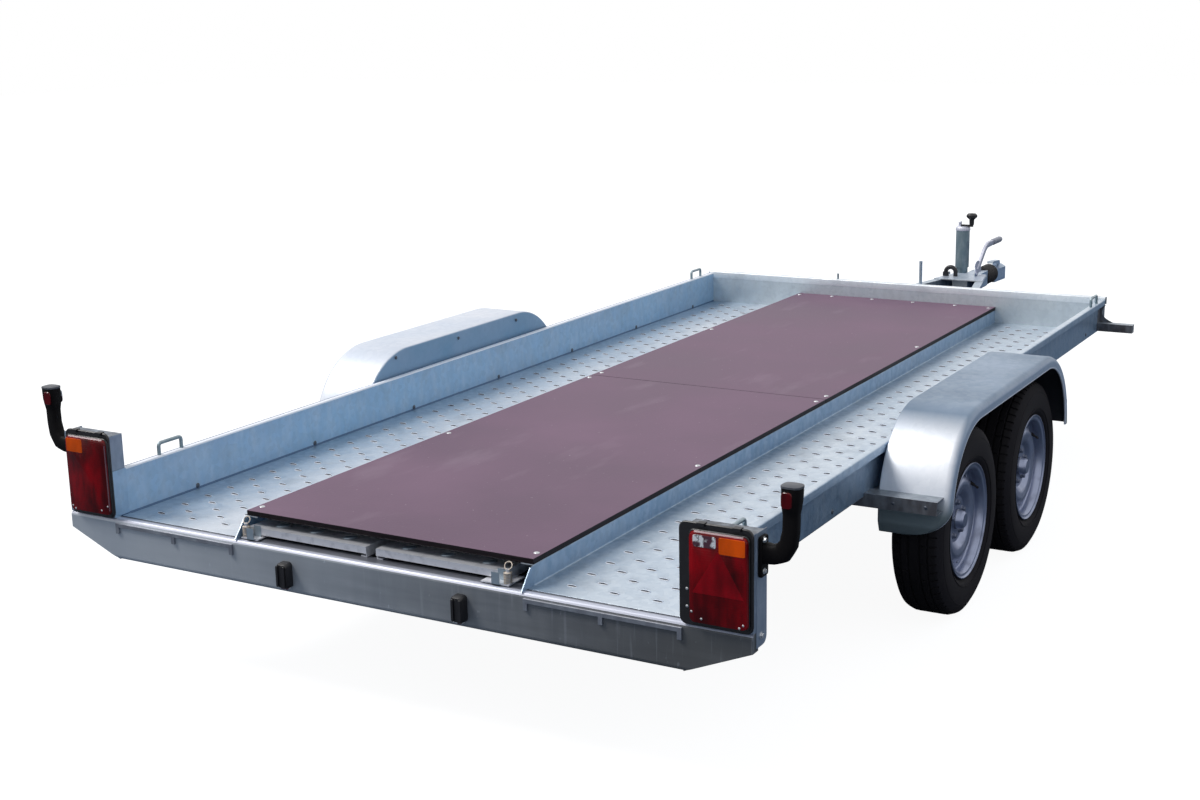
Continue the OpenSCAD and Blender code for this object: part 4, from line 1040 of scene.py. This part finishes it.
WHEELS = ["rear_left", "rear_right", "front_left", "front_right"]
BOLT_CIRCLE = 0.056
BOLT_TURN = 0.35
VALVE = Vector((0.118, 0, 0.086))
VALVE_OUT = 0.046
VALVE_LEAN = Vector((-0.5, 0, -0.36))
WHEEL_BOLTS = 5
HUB_FACE = 0.034


def wheel_fixings(place_name):
    """Wheel bolts, the hub cap's rim and a tyre valve."""
    body = "wheel_" + place_name
    centre = middle("tyre_" + place_name)
    out = Y if centre.y > 0 else -Y
    shape = Shape()
    for k in range(WHEEL_BOLTS):
        t = tau * k / WHEEL_BOLTS + BOLT_TURN
        point = centre + Vector((cos(t), 0, sin(t))) * BOLT_CIRCLE + out * HUB_FACE
        shape.turned(point, out, [(0.0110, -0.001), (0.0110, 0.001), (0.0092, 0.003)], 20)
        shape.turned(point, out, [(0.0086, 0.002), (0.0086, 0.010), (0.0066, 0.0125)], 6)
    cap = centre + out * HUB_FACE
    shape.turned(cap, out, [(0.0315, 0.002), (0.0315, 0.005), (0.0295, 0.007)], 32)
    shape.look = 1
    shape.turned(centre + VALVE + out * VALVE_OUT, (out + VALVE_LEAN).normalized(),
                 [(0.0055, -0.012), (0.005, 0.006), (0.0035, 0.010), (0.004, 0.022), (0.0035, 0.026)], 12)
    make("wheel_bolts_" + place_name, shape, ["wheel_bolt", "black_rubber"],
         body)


for spot in WHEELS:
    tyre("tyre_" + spot, "wheel_" + spot)
    wheel_fixings(spot)


# Rear lamps

LENS_X = -0.018
LENS_LOW = 0.013
LENS_TOP = 0.238
FRAME_TOP = 0.2575


def lens_part(shape, look, side, outline, proud, edge=0.0015):
    """A part of the lens, given by an outline of (distance out, height)."""
    shape.look = look
    shape.plate(outline, LENS_X - proud, LENS_X - proud + 0.004, side, edge)


def tail_lamp(shape, side, edges, has_clear):
    """A lamp in its black frame: the frame's and the lens's inner and outer edges are given."""
    frame_in, frame_out, lens_in, lens_out = edges
    shape.look = 0
    shape.plate(rounded((frame_in, 0.0), (frame_out, FRAME_TOP), 0.018), -0.005, 0.003, side, 0.002)
    # A dark skirt round the lens and its two clips on top
    skirt = rounded((lens_in - 0.003, LENS_LOW - 0.005), (lens_out + 0.003, LENS_TOP + 0.005), 0.013)
    shape.plate(skirt, -0.011, -0.004, side, 0.0015)
    for share in (0.18, 0.80):
        y = side * (lens_in + (lens_out - lens_in) * share)
        shape.box(bed(-0.012, y - 0.010, FRAME_TOP - 0.006), bed(0.006, y + 0.010, FRAME_TOP + 0.002))
    # The lens body, whose edges slope back to the frame
    shape.look = 1
    front = rounded((lens_in, LENS_LOW), (lens_out, LENS_TOP), 0.013)
    back = rounded((lens_in - 0.0015, LENS_LOW - 0.0015), (lens_out + 0.0015, LENS_TOP + 0.003), 0.014)
    shape.skin([(LENS_X, inset(front, 0.003)), (LENS_X + 0.0008, inset(front, 0.001)),
                (LENS_X + 0.003, front), (-0.008, back)], side)
    split = (lens_in + lens_out) / 2 - side * 0.002
    if not has_clear:
        split += 0.012
    lens_part(shape, 3, side, rounded((split, 0.192), (lens_out - 0.004, LENS_TOP - 0.004), 0.004), 0.0008)
    if has_clear:
        clear = rounded((lens_in + 0.010, 0.203), (split - 0.006, LENS_TOP - 0.005), 0.006)
        lens_part(shape, 4, side, clear, 0.0008)
        triangle = [(split, 0.200), (lens_in + 0.008, 0.088), (lens_out - 0.008, 0.088)]
        lens_part(shape, 2, side, triangle, 0.0004, 0.0004)
    # A painted highlight: a pale slope along the lens's top, and the left lamp's pale inner edge
    shape.look = 5
    in_y = lens_in + 0.012
    out_y = lens_out - 0.012
    shape.skin([(x, [(in_y, z), (out_y, z), (out_y, z + 0.0008), (in_y, z + 0.0008)]) for x, z in (
        (LENS_X + 0.002, LENS_TOP - 0.0012), (LENS_X + 0.006, LENS_TOP + 0.0022))], side)
    if not has_clear:
        shape.box(bed(LENS_X - 0.0003, lens_in, LENS_LOW + 0.014),
                  bed(LENS_X + 0.004, lens_in + 0.0014, LENS_TOP - 0.014))
    shape.look = 6
    if has_clear:
        for z in (0.046, 0.090):
            shape.dome(bed(-0.005, side * (lens_in - 0.012), z), -X, 0.0040, 0.0016, 12)
    for y, z in ((lens_in + 0.006, 0.040), (lens_in + 0.032, 0.025),
                 (lens_out - 0.020, 0.018), (lens_out - 0.010, 0.026)):
        shape.dome(bed(LENS_X, side * y, z), -X, 0.0032, 0.0015, 12)


def tail_lamps():
    shape = Shape()
    tail_lamp(shape, 1, (0.9345, 1.108, 0.9390, 1.098), False)
    tail_lamp(shape, -1, (0.9290, 1.1225, 0.9620, 1.113), True)
    looks = ["black_plastic", "red_lens", "triangle_lens", "amber_lens", "clear_lens", "lens_edge_highlight",
             "bolt_zinc"]
    make("tail_lamps_detailed", shape, looks, stands_for=["tail_lamps"], sharp=30)


ARM_LINE = [
    # Outward distance, height, half width and half depth
    (1.1225, 0.193, 0.032, 0.018), (1.1330, 0.193, 0.026, 0.017), (1.1560, 0.193, 0.024, 0.017),
    (1.1780, 0.200, 0.024, 0.017), (1.1930, 0.224, 0.022, 0.017), (1.1985, 0.256, 0.0200, 0.017),
    (1.1990, 0.296, 0.0200, 0.017), (1.1990, 0.312, 0.0225, 0.020), (1.2000, 0.330, 0.0240, 0.0220),
    (1.2005, 0.352, 0.0250, 0.0220), (1.2005, 0.361, 0.0250, 0.0220),
]
ARM_X = 0.040


def oval_ring(centre, across, up, half_a, half_b):
    """A soft rectangle, between an oval and a box."""
    def soft(value):
        return copysign(abs(value) ** 0.62, value)
    return [centre + across * half_a * soft(a) + up * half_b * soft(b) for a, b in circle(1.0, 20)]


def marker_arms():
    """Rubber arms that carry the marker lamps, red to the rear and white to the front."""
    shape = Shape()
    stations = []
    for first, second in zip(ARM_LINE, ARM_LINE[1:]):
        for k in range(3):
            t = k / 3
            stations.append([a + (b - a) * t for a, b in zip(first, second)])
    stations.append(list(ARM_LINE[-1]))
    rings = []
    for i, (y, z, half_w, half_d) in enumerate(stations):
        before = stations[max(i - 2, 0)]
        after = stations[min(i + 2, len(stations) - 1)]
        along = Vector((0, after[0] - before[0], after[1] - before[1])).normalized()
        rings.append(oval_ring(bed(ARM_X, y, z), along.cross(X), X, half_w, half_d))
    shape.loft(rings)
    # A flat grey cap closes the head
    shape.look = 3
    y, z, half_w, half_d = ARM_LINE[-1]
    cap = [oval_ring(bed(ARM_X, y, z + rise), Y, X, half_w + grow, half_d + grow)
           for rise, grow in ((0.0, 0.0008), (0.0045, 0.0008), (0.0055, -0.0006))]
    shape.loft(cap)
    shape.look = 0
    foot_y = ARM_LINE[0][0]
    shape.panel(rounded((0.021, 0.135), (0.059, 0.235), 0.006), foot_y, foot_y + 0.010, 1, 0.002)
    lens = rounded((1.181, 0.313), (1.209, 0.353), 0.009)
    for look, start, end in ((1, ARM_X - 0.0205, ARM_X - 0.0245), (2, ARM_X + 0.0205, ARM_X + 0.0245)):
        shape.look = look
        shape.plate(lens, start, end, 1, 0.002)
    shape.mirrored()
    make("marker_arms_detailed", shape, ["arm_rubber", "marker_lens", "clear_lens", "cap_rubber"],
         stands_for=["marker_arms"], sharp=45)


def plate_lamps():
    """Number plate lamps: black housings with a clear window that faces down and inward."""
    shape = Shape()
    low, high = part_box("plate_lamps")
    z0 = low.z - DECK_Z + 0.006
    z1 = high.z - DECK_Z + 0.013
    outline = rounded((high.y - 0.038, z0), (high.y, z1), 0.010)
    shape.skin([(x, inset(outline, small)) for x, small in (
        (0.0, 0.0), (-0.004, 0.0), (-0.020, 0.001), (-0.026, 0.005))])
    shape.look = 1
    window = rounded((REAR_X - 0.021, high.y - 0.034), (REAR_X - 0.005, high.y - 0.006), 0.003)
    shape.prism(window, X, Y, Z * (DECK_Z + z0 - 0.0008), Z * (DECK_Z + z0 + 0.002), 0.0006)
    shape.look = 0
    for y in (high.y - 0.029, high.y - 0.006):
        rib = rounded((y - 0.0035, z0 + 0.006), (y + 0.0035, z1 - 0.007), 0.003)
        shape.plate(rib, -0.030, -0.022, 1, 0.001)
    shape.dome(bed(-0.026, high.y - 0.020, z1 - 0.010), -X, 0.003, 0.0012, 10)
    shape.mirrored()
    make("plate_lamps_detailed", shape, ["black_plastic", "clear_lens"],
         stands_for=["plate_lamps"], sharp=35)


tail_lamps()
marker_arms()
plate_lamps()


def front_markers():
    """White lenses on the front outriggers."""
    shape = Shape()
    low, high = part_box("front_outriggers")
    z = low.z - DECK_Z + 0.0175
    start = high.x - REAR_X
    outline = rounded((high.y - 0.056, z - 0.012), (high.y - 0.008, z + 0.012), 0.005)
    shape.plate(outline, start, start + 0.005, 1, 0.0015)
    shape.mirrored()
    make("front_marker_lenses", shape, ["clear_lens"])


front_markers()


def hoops():
    """Round steel hoops with tight corners, welded to the tops of the walls, and the front wall's stub."""
    shape = Shape()
    low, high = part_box("lashing_hoops")
    half = 0.0475
    wire = 0.0058
    rise = 0.042 - wire
    front_x = BED_L - 0.165
    stub_y = 0.290
    for x in (low.x - REAR_X + half, front_x):
        path = bent([(x - half, 0), (x - half, rise), (x + half, rise), (x + half, 0)], 0.012, 5)
        shape.swept([bed(p.x, high.y - 0.0045, WALL_H + p.y) for p in path], circle(wire, 12), Y)
    shape.mirrored()
    shape.turned(bed(BED_L + LIP_W / 2 + 0.001, stub_y, WALL_H), Z, [(0.0045, 0), (0.0045, 0.035)], 12)
    make("hoops_round", shape, ["tube_zinc"], stands_for=["lashing_hoops"], sharp=50)


def jockey_sleeve():
    """The jockey tube's thicker upper part, a hollow ring, with its rolled collar, cap and lug."""
    shape = Shape()
    low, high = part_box("jockey_outer_tube")
    spot = middle("jockey_outer_tube")
    centre = Vector((spot.x, spot.y, 0))
    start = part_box("jockey_clamp")[1].z + 0.030
    top = high.z
    end = top - 0.020
    radius = (high.x - low.x) / 2 + 0.0035
    bore = radius - 0.0050
    shape.turned(centre, Z, [(radius, start), (radius, end), (bore, end), (bore, start)], 40, loop=True)
    shape.look = 1
    shape.turned(centre, Z, [(radius + 0.0025, end), (radius + 0.0025, top - 0.008),
                             (radius + 0.001, top - 0.004), (radius - 0.006, top + 0.0015)], 40)
    shape.turned(centre + Y * 0.016, Z, [(0.0085, top), (0.0085, top + 0.024), (0.0060, top + 0.027)], 20)
    make("jockey_sleeve", shape, ["tube_zinc", "lever_zinc"])


def lever_parts():
    """The handbrake's grip, its bar and the quadrant at its foot."""
    shape = Shape()
    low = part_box("handbrake_lever")[0]
    foot = Vector((low.x + 0.016, middle("handbrake_lever").y, low.z + 0.016))
    elbow = foot + Vector((0.145, 0, 0.120))
    tip = foot + Vector((0.392, 0, 0.125))
    shape.turned(tip - X * 0.135, X, [(0.0145, 0), (0.0165, 0.004), (0.0165, 0.120), (0.0125, 0.134)], 20)
    shape.look = 1
    arm = [foot + Z * 0.010, elbow - X * 0.014 - Z * 0.010, elbow + X * 0.030 + Z * 0.006, tip - X * 0.130]
    shape.swept(bent(arm, 0.05, 5), rounded((-0.0075, -0.013), (0.0075, 0.013), 0.004), Y)
    # The quadrant, from 10 to 140 degrees
    arc = [(0.062 * cos(radians(turn)), 0.062 * sin(radians(turn))) for turn in range(10, 141, 10)]
    quadrant = [(foot.x + a, foot.z + b) for a, b in [(-0.010, -0.004), (0.058, -0.004)] + arc]
    shape.prism(quadrant, X, Z, Y * (low.y + 0.010), Y * (low.y + 0.013), 0.0005)
    make("lever_parts", shape, ["grip_grey", "lever_zinc"])


def corner_gussets():
    """Curved dark plates between the front corners and the outriggers."""
    shape = Shape()
    top = WALL_H - LIP_W
    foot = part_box("front_outriggers")[0].z - DECK_Z + 0.035
    wall = WALL_Y + SHEET
    steps = 8
    outline = [(wall, foot), (wall, top)]
    for k in range(steps + 1):
        share = k / steps
        width = 0.026 - 0.016 * sin(pi * share) + 0.034 * share ** 4
        outline.append((wall + width, top + (foot - top) * share))
    shape.plate(outline, BED_L - 0.004, BED_L)
    shape.mirrored()
    make("corner_gussets", shape, ["bracket_zinc"])


def ramp_bay_shade():
    """A dark sheet under the ramps that stands for their shadow: painted shade."""
    shape = Shape()
    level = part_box("ramp_left")[0].z - DECK_Z - 0.009
    half_w = SHELF_IN_Y - 0.002
    shape.box(bed(BEAM_D, -half_w, level - 0.0015), bed(BEAM_D + 0.420, half_w, level))
    make("ramp_bay_shade_sheet", shape, ["painted_dark_shade"])


hoops()
jockey_sleeve()
lever_parts()
corner_gussets()
ramp_bay_shade()


# Spring latches, hook brackets and raised grips on the ramps' rear ends

def latch(name, body, y, hook_y):
    """A spring bolt in a bracket with two upright tabs, and its pull ring."""
    shape = Shape()
    base = BOARD_LOW - 0.054
    x = 0.030
    # The coil spring round the bolt
    shape.look = 1
    turn_steps = 14
    steps = 6 * turn_steps
    coil_r = 0.0105
    path = []
    for k in range(steps + 1):
        t = tau * k / turn_steps
        path.append(bed(x + coil_r * cos(t), y + coil_r * sin(t), base + 0.004 + 0.026 * k / steps))
    shape.swept(path, circle(0.0013, 6), Z)
    shape.turned(bed(x, y, base + 0.030), Z, [(0.0115, 0), (0.0115, 0.003), (0.0095, 0.0042)], 20)
    # The pull ring lies over to one side
    tilt = Vector((0.55, 0, 0.84)).normalized()
    loop = [bed(x + 0.004, y, base + 0.050) + tilt * a + Y * b for a, b in circle(0.011, 20)]
    shape.swept(loop, circle(0.0016, 8), X, loop=True)
    shape.look = 0
    low_x = x - 0.0165
    for start, end, top in ((low_x, low_x + 0.002, 0.034), (x + 0.0145, x + 0.0165, 0.034),
                            (low_x, x + 0.0165, 0.002)):
        shape.box(bed(start, hook_y - 0.012, base), bed(end, hook_y + 0.012, base + top))
    make(name, shape, ["zinc_plate", "brass_passivate"], body)


def ramp_grips(name, body, places):
    """Raised oval grips on a ramp's tip plate."""
    shape = Shape()
    for y in places:
        shape.turned(bed(0.093, y, 0.0302), Z,
                     [(0.0125, -0.0005), (0.0115, 0.002), (0.0085, 0.004), (0.0030, 0.0048)], 20, 1.7)
    make(name, shape, ["zinc_plate"], body)


latch("ramp_latch_left", "ramp_left", 0.4565, 0.4300)
latch("ramp_latch_right", "ramp_right", -0.4185, -0.3900)
ramp_grips("ramp_grips_left", "ramp_left", (0.138, 0.254, 0.376))
ramp_grips("ramp_grips_right", "ramp_right", (-0.063, -0.190, -0.322))


# Light, floor and camera

WHITE = (1, 1, 1, 1)


def staged(name, data):
    """An object of the scene that isn't part of the trailer."""
    thing = bpy.data.objects.new(name, data)
    bpy.context.scene.collection.objects.link(thing)
    return thing


def sunlight():
    data = bpy.data.lights.new("sun", "SUN")
    data.energy = 2.3
    data.angle = radians(20)
    data.color = (1.0, 0.985, 0.96)
    sun = staged("sun", data)
    sun.rotation_mode = "QUATERNION"
    sun.rotation_quaternion = Vector((-0.30, 0.65, 0.9)).to_track_quat("Z", "Y")


def sky():
    """White to the camera and in reflections, a soft blue and white sky for the light itself."""
    world = bpy.data.worlds.new("sky")
    bpy.context.scene.world = world
    nodes = Nodes(world)
    nodes.tree.nodes.clear()
    rays = nodes.node("LightPath").outputs
    seen = nodes.node("Math", {0: rays["Is Camera Ray"], 1: rays["Is Glossy Ray"]}, operation="MAXIMUM")
    either = nodes.node("Math", {0: seen.outputs[0], 1: rays["Is Transmission Ray"]}, operation="MAXIMUM")
    height = nodes.node("SeparateXYZ", {0: nodes.node("TexCoord").outputs["Generated"]}).outputs["Z"]
    ramp = nodes.node("ValToRGB", {"Fac": height})
    low, high = ramp.color_ramp.elements
    low.position = 0.0
    low.color = srgb(112, 144, 186)
    high.position = 0.75
    high.color = srgb(232, 240, 252)
    light = nodes.node("Background", {"Color": ramp.outputs["Color"], "Strength": 0.62})
    white = nodes.node("Background", {"Color": WHITE, "Strength": 1.0})
    mix = nodes.node("MixShader", {0: either.outputs[0], 1: light.outputs[0], 2: white.outputs[0]})
    nodes.node("OutputWorld", {"Surface": mix.outputs[0]})


def floor():
    """A white floor that keeps a soft shadow under the trailer."""
    reach = 30.0
    mesh = bpy.data.meshes.new("floor")
    mesh.from_pydata([(-reach, -reach, 0), (reach, -reach, 0), (reach, reach, 0), (-reach, reach, 0)], [],
                     [(0, 1, 2, 3)])
    material = bpy.data.materials.new("floor")
    nodes = Nodes(material)
    nodes.tree.nodes.clear()
    glow = nodes.node("Emission", {"Color": WHITE, "Strength": 0.94})
    cover = nodes.node("BsdfDiffuse", {"Color": (0.22, 0.22, 0.22, 1)})
    both = nodes.node("AddShader", {0: glow.outputs[0], 1: cover.outputs[0]})
    # The metal mirrors a darker yard, as in the photograph
    yard = nodes.node("BsdfDiffuse", {"Color": (0.13, 0.155, 0.19, 1)})
    seen = nodes.node("LightPath").outputs["Is Camera Ray"]
    mix = nodes.node("MixShader", {0: seen, 1: yard.outputs[0], 2: both.outputs[0]})
    nodes.node("OutputMaterial", {"Surface": mix.outputs[0]})
    mesh.materials.append(material)
    staged("floor", mesh)


def camera():
    """The photograph's view, worked out from the bed's edges."""
    yaw = 0.5259
    pitch = -0.2331
    roll = -0.0204
    eye = (-6.1788, -2.6702, 1.9088)
    forward = Vector((cos(yaw) * cos(pitch), sin(yaw) * cos(pitch), sin(pitch)))
    right = Vector((sin(yaw), -cos(yaw), 0))
    up = right.cross(forward)
    across = right * cos(roll) + up * sin(roll)
    upward = up * cos(roll) - right * sin(roll)
    data = bpy.data.cameras.new("camera")
    data.sensor_width = 36
    data.lens = 50.226
    data.clip_start = 0.05
    data.clip_end = 200
    view = staged("camera", data)
    turn = Matrix((across, upward, -forward)).transposed().to_4x4()
    view.matrix_world = Matrix.Translation(eye) @ turn
    bpy.context.scene.camera = view


sunlight()
sky()
floor()
camera()
bpy.context.scene.view_settings.view_transform = "Standard"
